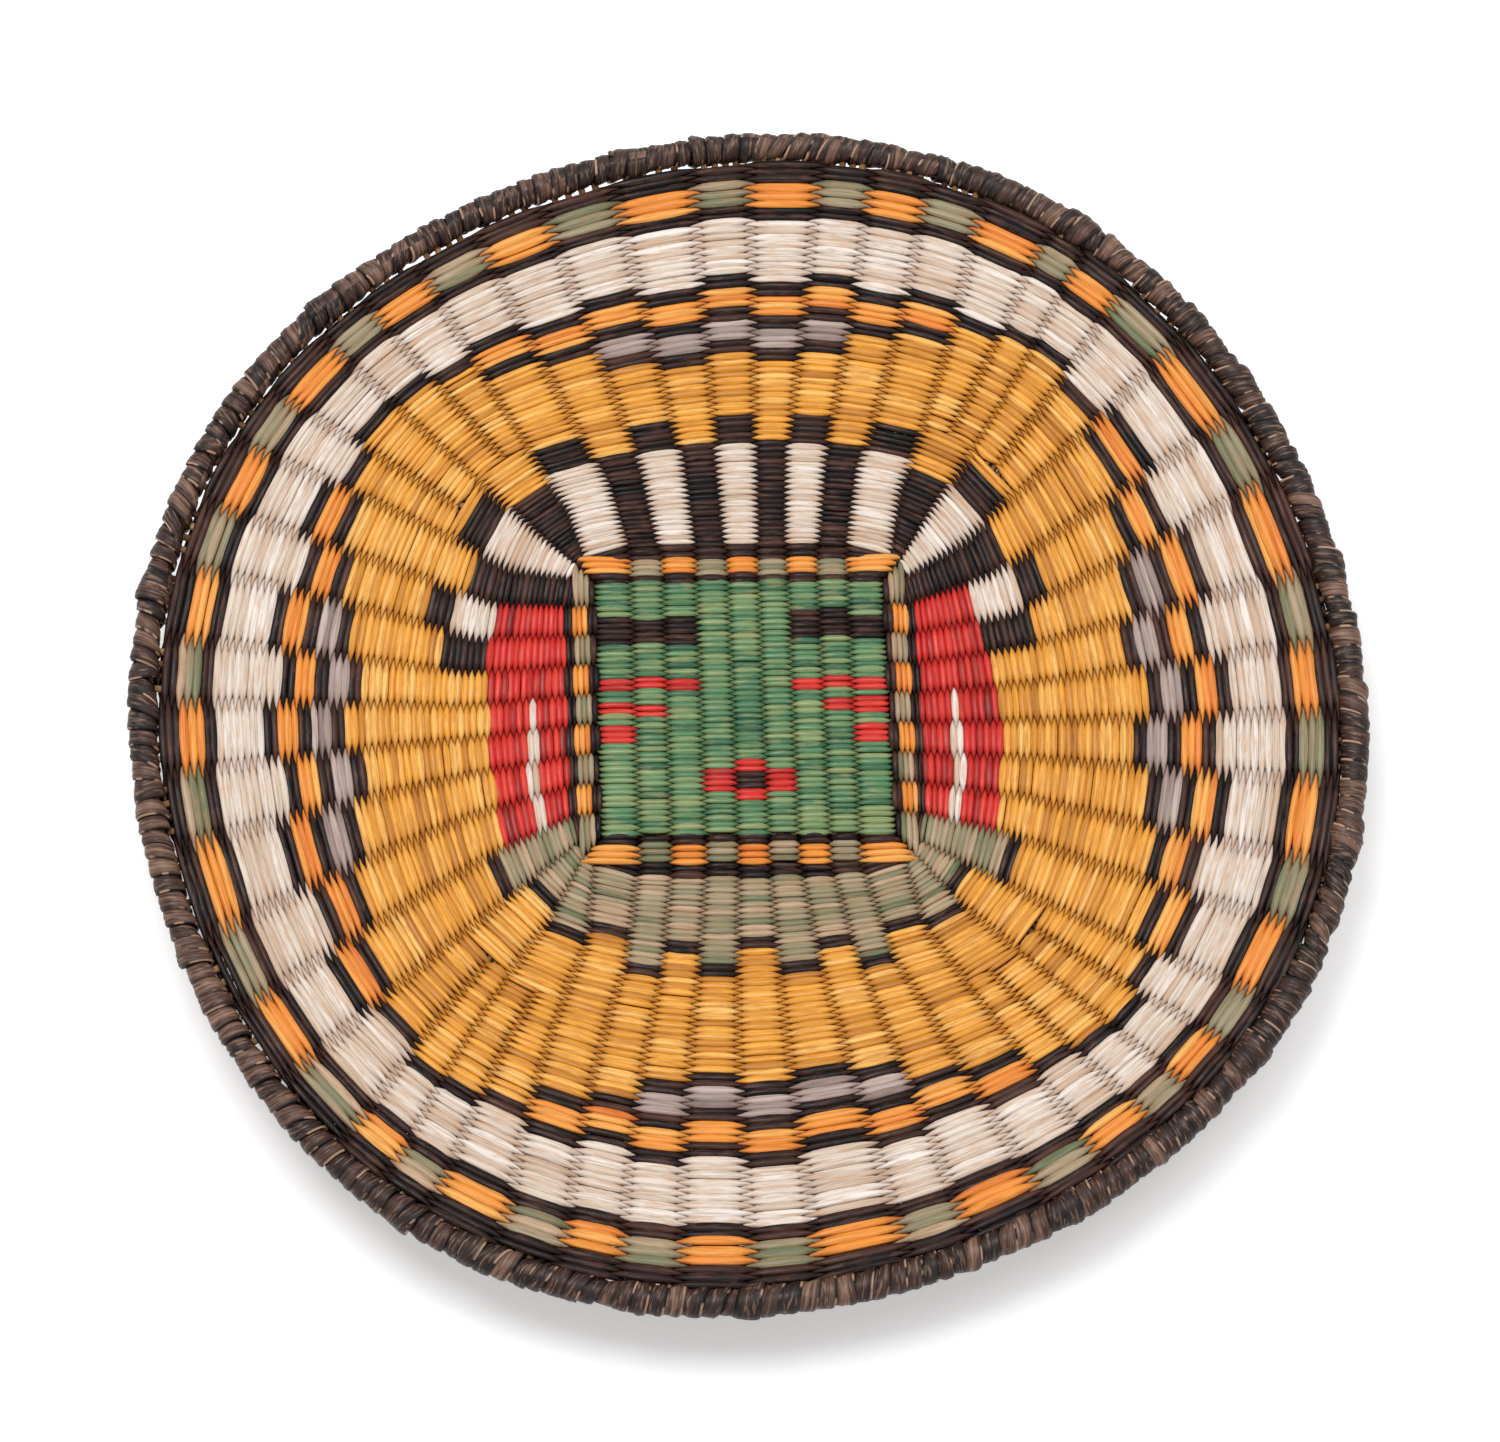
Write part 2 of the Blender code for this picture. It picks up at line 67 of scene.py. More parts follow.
# The mats, in metres and degrees. Here and below the sizes follow the CAD part, with small corrections
# from the photo. Levels are heights of the middles of the bundles and of the field's weave.
MAT_WIDTH = 0.0920
MAT_HEIGHT = 0.0836
MAT_CENTRE = (-0.0013, 0.0029)
COLUMN_TURN = 2.2
ROW_TURN = 0.5
COLUMN_SHARES = (0.151, 0.102, 0.110, 0.102, 0.099, 0.095, 0.099, 0.095, 0.147)
BACK_LEVEL = 0.0029
FIELD_LEVEL = 0.00595
FRONT_LEVEL = 0.0090

# The border: half sizes of the front mat's face inside it and of its own edge, how high its strands go,
# and how far out from the face its rounds lie. The lines between ribs start at LINE_HALF_X and LINE_HALF_Y,
# and those of the corners are drawn in.
FACE_HALF_X, FACE_HALF_Y = 0.0431, 0.0394
BORDER_HALF_X, BORDER_HALF_Y = 0.0501, 0.0477
BORDER_CROWN = 0.0055
BORDER_SHARES = (0.03, 0.13, 0.23, 0.343, 0.457, 0.571, 0.686, 0.80, 0.914)
BORDER_DARK_STRANDS = 3
LINE_HALF_X, LINE_HALF_Y = 0.0506, 0.0475
CORNER_DRAW = 0.0022

# The dish and the rim. A lobe of the rim has its number of waves, its size and its phase, and the lobe of
# the gap between weave and rim has its size and the angle of its top.
DISH_START_RADIUS = 0.0450
DISH_END_RADIUS = 0.1840
DISH_RISE = 0.0240
DISH_POWER = 1.5
RIM_RADIUS = 0.1805
RIM_THICKNESS = 0.0076
RIM_LOBES = ((2, 0.0009, 104.0), (4, 0.0018, -109.0))
EDGE_GAP = -0.0005
EDGE_GAP_LOBE = (0.0008, 120.0)

# Angles of the lines between neighbouring ribs, in degrees, side by side: right, top, left, bottom
NEAR_RADIUS = 0.0850
NEAR_ANGLES = (
    (-35.0, -25.5, -17.3, -9.0, -1.2, 6.8, 14.4, 22.0, 31.0, 40.3, 49.5),
    (57.7, 67.0, 74.3, 82.0, 88.6, 96.5, 103.8, 112.2, 120.0, 129.5, 138.0),
    (147.2, 155.8, 163.5, 171.2, 178.3, 185.2, 192.7, 201.0, 209.8, 218.8, 227.5),
    (236.5, 245.3, 252.7, 260.0, 268.0, 276.5, 285.5, 293.0, 299.7, 308.0, 317.0),
)
# The forks: their radius, the first strand that is woven over 52 ribs, in half floats, and the radius at
# which the gaping lines that start there have closed
FORK_RADIUS = 0.1080
FORK_NUMBER = 49
SEAM_END = 0.1500
FORK_ANGLES = ((46.0, 55.5), (132.5, 143.5), (225.5, 234.5), (311.5, 321.5))
FAR_RADIUS = 0.1650
FAR_ANGLES = (
    (-31.7, -23.7, -17.0, -8.5, -1.5, 5.8, 13.3, 23.8, 31.3, 41.0, 48.8, 54.2, 58.2),
    (65.5, 71.3, 77.3, 82.6, 90.0, 95.7, 104.2, 111.8, 119.3, 126.0, 132.8, 138.3, 145.8),
    (152.0, 159.3, 166.0, 173.8, 180.5, 187.8, 195.3, 205.0, 213.0, 221.0, 229.0, 234.2, 239.0),
    (246.2, 252.2, 257.8, 263.5, 270.5, 276.5, 285.3, 291.3, 299.3, 306.0, 312.3, 317.0, 322.8),
)
# Angles at which one leaf strip of the rim ends and the next one starts
STRIP_ENDS = (22.0, 56.0, 82.0, 102.0, 136.0, 169.0, 206.0, 238.0, 270.0, 301.0, 324.0, 346.0)

# The weave, counted in floats outwards: a float is one visible pass of a strand over a rib
FIRST_FLOAT = -2.0
FLOAT_STATIONS = (0.0, 45.5, 53.0, 55.0, 58.0, 60.5)
FLOAT_SHARES = (0.0, 0.748, 0.872, 0.901, 0.960, 1.0)
# The first round outside the border is a rounded square, and rounds draw in a little at top and bottom
INNER_HALF_X, INNER_HALF_Y = 0.0530, 0.0523
INNER_POWER = 6.2
BORDER_POWER = 10.0
MIDDLE_DRAW = 0.07

# A strand's path by its signed crown, which is 1 on top of a rib, 0 on a line between ribs and -1 under a
# rib. A float lies flat over its rib, and its pointed ends reach between the next rib's floats before they
# go under, so that the line between two ribs is a row of teeth.
PATH_CROWNS = (-1.0, -0.809, -0.482, -0.218, 0.0, 0.218, 0.482, 0.809, 1.0)
PATH_HEIGHTS = (-1.0, -0.96, -0.45, 0.26, 0.52, 0.72, 0.90, 0.98, 1.0)
PATH_WIDTHS = (1.0, 1.0, 1.0, 0.60, 0.57, 0.79, 1.06, 1.21, 1.25)
SECTION_POWER = 0.68

# Fineness of a strand's mesh: corners of its section, and its columns' places across a cell, which is the
# stretch over one rib
SECTION = 8
CELL_PLACES = np.array((0.0, 0.07, 0.16, 0.30, 0.50, 0.70, 0.84, 0.93))
CELL_STEPS = len(CELL_PLACES)
FIRST_HALF = CELL_PLACES < 0.5

# How much strands differ where the unevenness is 1: in metres, and as shares of a width or a thickness
HEIGHT_SPREAD = 0.00013
MAT_SPREAD = 0.00010
SIDE_SPREAD = 0.06
WIDTH_SPREAD = 0.06
ROUND_WIDTH_SPREAD = 0.07
THICKNESS_SPREAD = 0.08
# How much tones differ from twig to twig and from float to float, and how many cells a twig is long, in
# the rounds and in the mats
TWIG_TONES, FLOAT_TONES = 0.62, 0.55
MAT_TWIG_TONES, MAT_TWIG_PART, MAT_FLOAT_PART = 0.9, 0.7, 0.3
TWIG_CELLS, MAT_TWIG_CELLS = 4, 3

# At the forks: how much a float narrows beside a gaping line, how far the floats of an inner arm are
# pushed at most, how much they narrow by it and over how many strands, and how much wider the first
# crossings of a fork's line and the hidden passes at the fork are
GAP_NARROWS = 0.8
PUSH, PUSH_NARROWS, PUSHED_STRANDS = 0.25, 0.3, 4
CROSSING_WIDENS, WIDE_CROSSINGS = 0.5, 3
PASS_WIDENS = 0.4
# How much less the border's rounds swing, at shares of the way out
BORDER_FALL = ((0.0, 0.3, 1.0), (0.0, 0.08, 0.52))

# Strands stand apart in the noise of their material: along by up to NOISE_REACH, and across by a step
NOISE_REACH = 3
NOISE_STEP = 0.0137

# Rods: how much of the way between its two lines a bundle takes up, where its points are taken, and how
# far the rods reach into the rim
ROD_SPREAD = 0.76
ROD_RADII = (0.068, 0.076, 0.092, 0.108, 0.124, 0.141, 0.156)
TRUNK_RADII = (0.0675, 0.076, 0.092, FORK_RADIUS + 0.002)
ARM_RADII = (0.124, 0.141, 0.156)
ROD_END_DEPTH = 0.0012
BUNDLE_RODS, BUNDLE_STEPS = 4, 44
ARM_RODS, ARM_STEPS = 3, 18
ROD_SECTIONS = 6
ROD_SWELL = 0.06
ROD_TONE, ROD_TONE_SPREAD, END_TONE = 0.4, 0.34, 0.35
MERGE_DISTANCE = 0.00001

# Leaf strips: steps round a turn and across it, how far a turn's tucked edge stands from the middle of the
# wrapping, how much higher its open edge lies and how much it bulges, how far outside the core's middle the
# wrapping's is, and the lump and the tuck at a strip's ends, with their lengths in turns
TURN_STEPS, LAP_STEPS = 16, 7
LEAF_REACH = 0.00305
LEAF_RISE = 0.00110
LEAF_BULGE = 0.00050
LEAF_OFFSET = 0.0003
LUMP, LUMP_TURNS = 0.0011, 1.6
TUCK, TUCK_TURNS = 0.0006, 0.3
# How much turns differ: in pitch and in lean as shares of a turn, in swell and folds in metres, and in tone
PITCH_SPREAD, LEAN_SPREAD, LEAN = 0.24, 0.45, 0.4
SWELL_SPREAD, FOLD_SPREAD = 0.00030, 0.00013
LEAF_TONE, LEAF_TONE_SPREAD = 0.48, 0.46


def linear(hex_colour):
    """Linear colour of an sRGB hex value."""
    parts = [int(hex_colour[start:start + 2], 16) / 255 for start in (1, 3, 5)]
    return tuple(part / 12.92 if part <= 0.04045 else ((part + 0.055) / 1.055) ** 2.4 for part in parts)


# Settings


def setting(name, description, default, **kind):
    """A number that a user may change."""
    return bpy.props.FloatProperty(name=name, description=description, default=default, **kind)


def length(name, description, default):
    """A length that a user may change."""
    return setting(name, description, default, min=0.0, precision=5, unit="LENGTH")


def share(name, description, default):
    """A share between nothing and the whole, or a little more than it."""
    return setting(name, description, default, min=0.0, max=2.0, subtype="FACTOR")


def colour(name, description, hex_colour):
    """A colour, given as sRGB hex and kept linear."""
    return bpy.props.FloatVectorProperty(name=name, description=description, subtype="COLOR", size=3,
                                         default=linear(hex_colour), min=0.0, max=1.0)


class PlaqueWeave(bpy.types.PropertyGroup):
    """Sizes of the strands of weft."""

    strand_thickness: length("Strand thickness", "Thickness of a strand outside the mats", 0.0014)
    strand_swing: length("Strand swing", "How far a strand goes over and under a rib", 0.0019)
    mat_strand_thickness: length("Mat strand thickness", "Thickness of a strand of the mats", 0.0013)
    mat_strand_swing: length("Mat strand swing", "How far a mat's strand goes over its bundles", 0.0018)
    mat_float_pitch: length("Mat float pitch", "Distance between neighbouring floats of a mat", 0.00180)
    strand_width: share("Strand width", "Width of the strands, where 1 just fills the rows", 1.0)
    unevenness: share("Unevenness", "How much hand-split strands differ", 1.3)


class PlaqueRim(bpy.types.PropertyGroup):
    """Sizes of the rods and of the leaf wrapping."""

    rod_thickness: length("Rod thickness", "Thickness of one peeled rod", 0.0021)
    leaf_pitch: length("Leaf pitch", "Distance between neighbouring turns of leaf", 0.0050)
    leaf_overlap: share("Leaf overlap", "Part of a turn that lies under its neighbour", 0.24)
    leaf_thickness: length("Leaf thickness", "Thickness of a strip of leaf", 0.00045)


class PlaqueDyes(bpy.types.PropertyGroup):
    """Colours of the strands."""

    dark: colour("Dark", "Black-brown of the outlines", "#211512")
    ochre: colour("Ochre", "Yellow of the field", "#f5aa3c")
    orange: colour("Orange", "Orange of the blocks", "#f5993b")
    cream: colour("Cream", "White clay over pale twigs", "#e9d9ca")
    sage: colour("Sage", "Grey-green of the ruff and blocks", "#a09476")
    plum: colour("Plum", "Grey purple of the block band", "#b3a09a")
    red: colour("Red", "Red of the figure", "#d62822")
    green: colour("Green", "Green of the front mat", "#528458")
    leaf: colour("Leaf", "Dark brown of the rim's leaf strips", "#50342b")
    # Peeled wood browned by age, and set darker still as painted shade where the rods show in the gaps
    # between floats
    rod: colour("Rod", "Peeled wood of the rods, browned by age", "#8c6844")


class PlaqueStage(bpy.types.PropertyGroup):
    """Camera and light."""

    distance: length("Camera distance", "Distance from the camera to the middle of the plaque", 1.150)
    tilt: setting("Camera tilt", "Tilt of the view from straight down", math.radians(18), subtype="ANGLE")
    lens: setting("Lens", "Focal length of the camera", 93.3, unit="CAMERA")
    lamp_power: setting("Lamp power", "Power of the soft lamp", 12.7, unit="POWER")
    fill_power: setting("Fill power", "Power of the second soft lamp", 4.6, unit="POWER")
    sky: share("Sky", "Strength of the even light from all round", 0.42)
    floor: colour("Floor", "Colour of the floor", "#f5f5f5")


# Shape of the frame


def polar(radius, degrees):
    """Plan points from radii and angles."""
    turn = np.radians(degrees)
    return np.stack((radius * np.cos(turn), radius * np.sin(turn)), axis=-1)


def dish_run(radius):
    """How far out a radius lies on the dish, from 0 at its start to 1 at its end."""
    return np.maximum(radius - DISH_START_RADIUS, 0) / (DISH_END_RADIUS - DISH_START_RADIUS)


def dish_level(radius):
    """Height of the middle of the weave at a radius."""
    return FIELD_LEVEL + DISH_RISE * dish_run(radius) ** DISH_POWER


def dish_slope(radius):
    """Slope of the weave outwards at a radius."""
    steepest = DISH_RISE * DISH_POWER / (DISH_END_RADIUS - DISH_START_RADIUS)
    return steepest * dish_run(radius) ** (DISH_POWER - 1)


def rim_radius(degrees):
    """Outer radius of the rim, with its slow lobes."""
    return RIM_RADIUS + sum(size * np.cos(np.radians(waves * degrees - phase))
                            for waves, size, phase in RIM_LOBES)


def mat_points(x, y):
    """Plan points given along and across the turned mats."""
    rows, columns = math.radians(ROW_TURN), math.radians(COLUMN_TURN)
    return np.stack((MAT_CENTRE[0] + x * math.cos(rows) - y * math.sin(columns),
                     MAT_CENTRE[1] + x * math.sin(rows) + y * math.cos(columns)), axis=-1)


def lines_between(shares, whole):
    """Places of the lines between ribs across a mat, from its low side to its high side."""
    reach = np.concatenate(([0], np.cumsum(shares)))
    return whole * (reach / reach[-1] - 1 / 2)


COLUMN_LINES = lines_between(COLUMN_SHARES, MAT_WIDTH)
FACE_LINES = np.clip(COLUMN_LINES, -FACE_HALF_X, FACE_HALF_X)
ROW_LINES = lines_between([1] * STRAIGHT_RIBS, MAT_HEIGHT)
# The same anticlockwise along the right, top, left and bottom side
SIDE_LINES = (ROW_LINES, COLUMN_LINES[::-1], ROW_LINES[::-1], COLUMN_LINES)
FACE_SIDE_LINES = (ROW_LINES, FACE_LINES[::-1], ROW_LINES[::-1], FACE_LINES)


def side_point(side, across, half_x, half_y):
    """A place on a side of an upright rectangle, in mat coordinates."""
    return ((half_x, across), (across, half_y), (-half_x, across), (across, -half_y))[side]


def border_crossing(side, step):
    """Where a line between ribs crosses the border's outer edge, in mat coordinates."""
    side %= SIDES
    if step <= STRAIGHT_RIBS:
        return np.array(side_point(side, SIDE_LINES[side][step], LINE_HALF_X, LINE_HALF_Y))
    sign_x, sign_y = ((1, 1), (-1, 1), (-1, -1), (1, -1))[side]
    corner = np.array((sign_x * (LINE_HALF_X - CORNER_DRAW), sign_y * (LINE_HALF_Y - CORNER_DRAW)))
    if step == FORK_LINES[0]:
        return (border_crossing(side, STRAIGHT_RIBS) + corner) / 2
    if step == FORK_LINES[1]:
        return (corner + border_crossing(side + 1, 0)) / 2
    return corner


def line_tables():
    """Start, near and far places of every line between ribs, with the first line again at the end."""
    rows = []
    for side in range(SIDES):
        for step in range(RIBS_PER_SIDE):
            start = mat_points(*border_crossing(side, step))
            near, near_radius = NEAR_ANGLES[side][min(step, STRAIGHT_RIBS + 1)], NEAR_RADIUS
            if step in FORK_LINES:
                near, near_radius = FORK_ANGLES[side][FORK_LINES.index(step)], FORK_RADIUS
            rows.append((start, near, near_radius, FAR_ANGLES[side][step]))
    start, near, near_radius, far = rows[0]
    rows.append((start, near + 360, near_radius, far + 360))
    return [np.array(places) for places in zip(*rows)]


LINE_STARTS, LINE_NEAR, LINE_NEAR_RADII, LINE_FAR = line_tables()


def line_points(radius, lines):
    """Where lines between ribs stand at radii, straight from the border to the near radius."""
    near = LINE_NEAR[lines]
    run = (radius - LINE_NEAR_RADII[lines]) / (FAR_RADIUS - LINE_NEAR_RADII[lines])
    outside = polar(radius, near + (LINE_FAR[lines] - near) * np.clip(run, 0, 1))
    starts = LINE_STARTS[lines]
    start_radius = np.hypot(starts[:, 0], starts[:, 1])
    share_in = (radius - start_radius) / (NEAR_RADIUS - start_radius)
    inside = starts + (polar(NEAR_RADIUS, near) - starts) * np.maximum(share_in, -0.1)[..., None]
    return np.where((radius >= NEAR_RADIUS)[..., None], outside, inside)


def rounded_outline(half_x, half_y, power):
    """Angles and radii about the plaque's middle of a rounded square that lies on the mats."""
    turn = np.radians(np.arange(0, 360, 0.5))
    reach = (abs(np.cos(turn) / half_x) ** power + abs(np.sin(turn) / half_y) ** power) ** (-1 / power)
    points = mat_points(reach * np.cos(turn), reach * np.sin(turn))
    degrees = np.degrees(np.arctan2(points[:, 1], points[:, 0])) % 360
    order = np.argsort(degrees)
    return degrees[order], np.hypot(points[:, 0], points[:, 1])[order]


def border_halves(share_out):
    """Half sizes of a round of the border, a share of the way from the face to the border's edge."""
    return (FACE_HALF_X + (BORDER_HALF_X - FACE_HALF_X) * share_out,
            FACE_HALF_Y + (BORDER_HALF_Y - FACE_HALF_Y) * share_out)


INNER_OUTLINE = rounded_outline(INNER_HALF_X, INNER_HALF_Y, INNER_POWER)
BORDER_OUTLINE = rounded_outline(*border_halves(BORDER_SHARES[-1]), BORDER_POWER)


def outline_radius(outline, degrees):
    """Radius of an outline at angles."""
    return np.interp(degrees % 360, *outline, period=360)


def round_radius(floats, degrees):
    """Radius of a round of weft that lies a count of floats outside the border."""
    inner = outline_radius(INNER_OUTLINE, degrees)
    gap = EDGE_GAP + EDGE_GAP_LOBE[0] * np.cos(np.radians(degrees - EDGE_GAP_LOBE[1]))
    outer = rim_radius(degrees) - RIM_THICKNESS - gap
    run = np.interp(floats, FLOAT_STATIONS, FLOAT_SHARES)
    draw = MIDDLE_DRAW * (1 - np.cos(2 * np.radians(degrees - COLUMN_TURN)))
    radius = inner + (outer - inner) * (run - draw * run * (1 - run))
    border = outline_radius(BORDER_OUTLINE, degrees)
    close = border + (inner - border) * (floats - FIRST_FLOAT + 0.5) / (0.5 - FIRST_FLOAT)
    return np.where(floats < 0, close, radius)


def weave_points(floats, lines):
    """Plan places where rounds of weft cross the lines between ribs."""
    degrees = np.broadcast_to(LINE_NEAR[lines], (len(floats), len(lines)))
    for _ in range(4):
        points = line_points(round_radius(floats[:, None], degrees), lines)
        degrees = np.degrees(np.arctan2(points[..., 1], points[..., 0]))
    return points


def lifted(points):
    """Plan points put on the dish."""
    level = dish_level(np.hypot(points[..., 0], points[..., 1]))
    return np.concatenate((points, level[..., None]), axis=-1)


def unit(vectors):
    """Vectors made one long."""
    return vectors / np.linalg.norm(vectors, axis=-1, keepdims=True)


def flattened(vectors, along):
    """The part of vectors that stands square to a direction, made one long."""
    return unit(vectors - along * np.sum(vectors * along, axis=-1, keepdims=True))


# Figure of the weave

DYES = ("dark", "ochre", "orange", "cream", "sage", "plum", "red", "green")
DARK, OCHRE, ORANGE, CREAM, SAGE, PLUM, RED, GREEN = range(len(DYES))

# Runs of dye on the ribs round the border: dye and the float it ends at. Ribs count anticlockwise from
# the middle of the right side. Along the bottom the ruff ends at a float of its own on each rib.
RUFF_ENDS = (13.9, 9.5, 9.5, 12.8, 12.8, 10.5, 15.5, 11.5, 14.6, 10.5, 15, 11, 15.4, 9.7, 11.6, 11.6, 8, 8,
             14.6)
FIGURE_RUNS = {
    **dict.fromkeys((9, 11, 13, 15, 17), ((CREAM, 18), (DARK, 23))),
    **dict.fromkeys((5, 6, 20, 21), ((CREAM, 17), (DARK, 22))),
    **dict.fromkeys((10, 12, 14, 16), ((DARK, 18.5),)),
    **dict.fromkeys((7, 8, 18, 19), ((DARK, 17),)),
    **dict.fromkeys((4, 22), ((DARK, 17.5),)),
    1: ((RED, 11.5),),
    2: ((RED, 11), (DARK, 18.5)),
    3: ((RED, 10), (CREAM, 18), (DARK, 22.5)),
    23: ((RED, 12), (CREAM, 19), (DARK, 23.3)),
    24: ((RED, 12.4), (DARK, 19.4)),
    25: ((RED, 12),),
    **dict.fromkeys((0, 26), ((RED, 4.8), (CREAM, 5.3), (RED, 11.7))),
    **dict.fromkeys((27, 29, 49, 51), ((RED, 4.3), (CREAM, 5.8), (RED, 11.7))),
    **dict.fromkeys((28, 50), ((RED, 4.8), (CREAM, 6.3), (RED, 11.7))),
    **{rib: ((SAGE, end), (DARK, end + 2)) for rib, end in enumerate(RUFF_ENDS, 30)},
}
# Blocks of the field: they start further out on every second rib, and by a rib's place from the middle of
# its side the first floats of the block band are left out
BLOCK_STARTS = (33.5, 31.25)
BLOCK_FLOATS_LEFT_OUT = (0, 0, 0, 5, 5, 10, 10)
BLOCK_BAND = ((DARK, 2), (PLUM, 5), (DARK, 7), (ORANGE, 10), (DARK, 12))
WHITE_END, EDGE_BLOCK_START, EDGE_BLOCK_END = 52.75, 54.75, 57.75


def run_dye(runs, floats):
    """The dye of a list of runs at a float, or nothing past its last run."""
    for dye, end in runs:
        if floats < end:
            return dye
    return None


def weave_dye(rib, floats):
    """Dye of the float that lies a count of floats out on a rib."""
    if floats < 0:
        return DARK
    figure = run_dye(FIGURE_RUNS[rib], floats)
    if figure is not None:
        return figure
    if floats > WHITE_END:
        if EDGE_BLOCK_START < floats < EDGE_BLOCK_END:
            return SAGE if rib % 2 else ORANGE
        return DARK
    side_offset = abs((rib + 6) % RIBS_PER_SIDE - 6)
    start = BLOCK_STARTS[side_offset % 2]
    if floats < start + BLOCK_FLOATS_LEFT_OUT[side_offset]:
        return OCHRE
    return run_dye(BLOCK_BAND, floats - start) if floats < start + BLOCK_BAND[-1][1] else CREAM


# Marks on the front mat: columns from the left, and the dye with its start and end down from the top
MAT_MARKS = (
    ((0, 1, 2), DARK, 0.145, 0.245), ((6, 7), DARK, 0.110, 0.225), ((8,), DARK, 0.145, 0.235),
    ((0, 1, 2, 6, 7, 8), RED, 0.385, 0.435), ((0, 1), RED, 0.485, 0.535), ((7, 8), RED, 0.470, 0.520),
    ((0, 8), RED, 0.585, 0.635), ((3, 5), RED, 0.750, 0.830),
    ((4,), RED, 0.710, 0.760), ((4,), DARK, 0.760, 0.815), ((4,), RED, 0.815, 0.865),
)


def mat_dye(column, down):
    """Dye of a float of the front mat, by its column and its place down from the top."""
    for columns, dye, start, end in MAT_MARKS:
        if column in columns and start < down < end:
            return dye
    return GREEN


def back_mat_dye(column, down):
    """Dye of a float of the back mat: plain ochre between dark edges."""
    return OCHRE if 0.04 < down < 0.96 else DARK


# Materials


def add_node(material, kind, settings=(), inputs=()):
    """Add a node with its settings, and set or link its inputs."""
    node = material.node_tree.nodes.new(kind)
    for name, value in dict(settings).items():
        setattr(node, name, value)
    for name, value in dict(inputs).items():
        if isinstance(value, bpy.types.NodeSocket):
            material.node_tree.links.new(value, node.inputs[name])
        else:
            node.inputs[name].default_value = value
    return node


def solid(hex_colour):
    """A colour as a node's four numbers."""
    return (*linear(hex_colour), 1.0)


def toned(tint, factor):
    """A colour made lighter or darker, as a node's four numbers."""
    return (*(min(part * factor, 1.0) for part in tint), 1.0)


def new_material(name):
    """A material and its shader."""
    material = bpy.data.materials.new(name)
    material.use_nodes = True
    return material, material.node_tree.nodes["Principled BSDF"]


def set_ramp(node, stops):
    """Give a colour ramp its stops: places and colours."""
    elements = node.color_ramp.elements
    while len(elements) < len(stops):
        elements.new(0.5)
    for element, (place, tint) in zip(elements, stops):
        element.position = place
        element.color = tint


def give_surface(material, shader, tint, relief, roughness, strength, depth):
    """Link a shader's colour, and its roughness and bumps, which come from one relief."""
    links = material.node_tree.links
    links.new(tint, shader.inputs["Base Color"])
    sheen = add_node(material, "ShaderNodeMapRange", (),
                     {"Value": relief, "From Min": 0.3, "From Max": 0.7,
                      "To Min": roughness[0], "To Max": roughness[1]})
    links.new(sheen.outputs[0], shader.inputs["Roughness"])
    bump = add_node(material, "ShaderNodeBump", (),
                    {"Height": relief, "Strength": strength, "Distance": depth})
    links.new(bump.outputs[0], shader.inputs["Normal"])


def dyed_twig(name, tint, low, high, bare, bare_share, roughness, painted_shade_depth, gloss):
    """Rabbitbrush twig, peeled and dyed: streaks run along it, and the dye has worn off in flecks.

    The twig attribute gives metres along the strand, across it and through it.
    """
    material, shader = new_material(name)
    place = add_node(material, "ShaderNodeAttribute", {"attribute_name": "twig"}).outputs["Vector"]
    shade = add_node(material, "ShaderNodeAttribute", {"attribute_name": "shade"}).outputs["Fac"]
    crease = add_node(material, "ShaderNodeAttribute", {"attribute_name": "crease"}).outputs["Fac"]
    tone = add_node(material, "ShaderNodeValToRGB", (), {"Fac": shade})
    set_ramp(tone, ((0.0, solid(low)), (0.5, toned(tint, 1.0)), (1.0, solid(high))))
    # Fibres about 12 mm long, drawn 0.5 mm apart, which is coarser than real ones, so that they show
    fibre_place = add_node(material, "ShaderNodeVectorMath", {"operation": "MULTIPLY"},
                           {0: place, 1: (80, 2000, 2000)}).outputs[0]
    fibres = add_node(material, "ShaderNodeTexNoise", (),
                      {"Vector": fibre_place, "Scale": 1.0, "Detail": 3.0, "Roughness": 0.6}).outputs["Fac"]
    streak = add_node(material, "ShaderNodeMapRange", (),
                      {"Value": fibres, "From Min": 0.46, "From Max": 0.66}).outputs[0]
    streaked = add_node(material, "ShaderNodeMix", {"data_type": "RGBA", "blend_type": "MULTIPLY"},
                        {"Factor": streak, 6: tone.outputs["Color"], 7: (0.70, 0.63, 0.56, 1.0)}).outputs[2]
    # Worn flecks 1 mm wide and some 6 mm long, where bare twig shows
    fleck_place = add_node(material, "ShaderNodeVectorMath", {"operation": "MULTIPLY"},
                           {0: place, 1: (160, 900, 900)}).outputs[0]
    flecks = add_node(material, "ShaderNodeTexNoise", (),
                      {"Vector": fleck_place, "Scale": 1.0, "Detail": 2.0}).outputs["Fac"]
    worn = add_node(material, "ShaderNodeMapRange", (),
                    {"Value": flecks, "From Min": 0.52, "From Max": 0.64, "To Max": bare_share}).outputs[0]
    clean = add_node(material, "ShaderNodeMix", {"data_type": "RGBA"},
                     {"Factor": worn, 6: streaked, 7: solid(bare)}).outputs[2]
    # Painted shade in the creases between strands, a dark warm brown multiplied into the colour
    painted_shade_share = add_node(material, "ShaderNodeMapRange", (),
                    {"Value": crease, "From Min": 0.12, "From Max": 0.9, "To Max": painted_shade_depth}).outputs[0]
    coloured = add_node(material, "ShaderNodeMix", {"data_type": "RGBA", "blend_type": "MULTIPLY"},
                        {"Factor": painted_shade_share, 6: clean, 7: solid("#743f22")}).outputs[2]
    give_surface(material, shader, coloured, fibres, (roughness - 0.08, roughness + 0.14), 0.7, 0.0002)
    shader.inputs["IOR"].default_value = 1.5
    shader.inputs["Specular IOR Level"].default_value = gloss
    return material
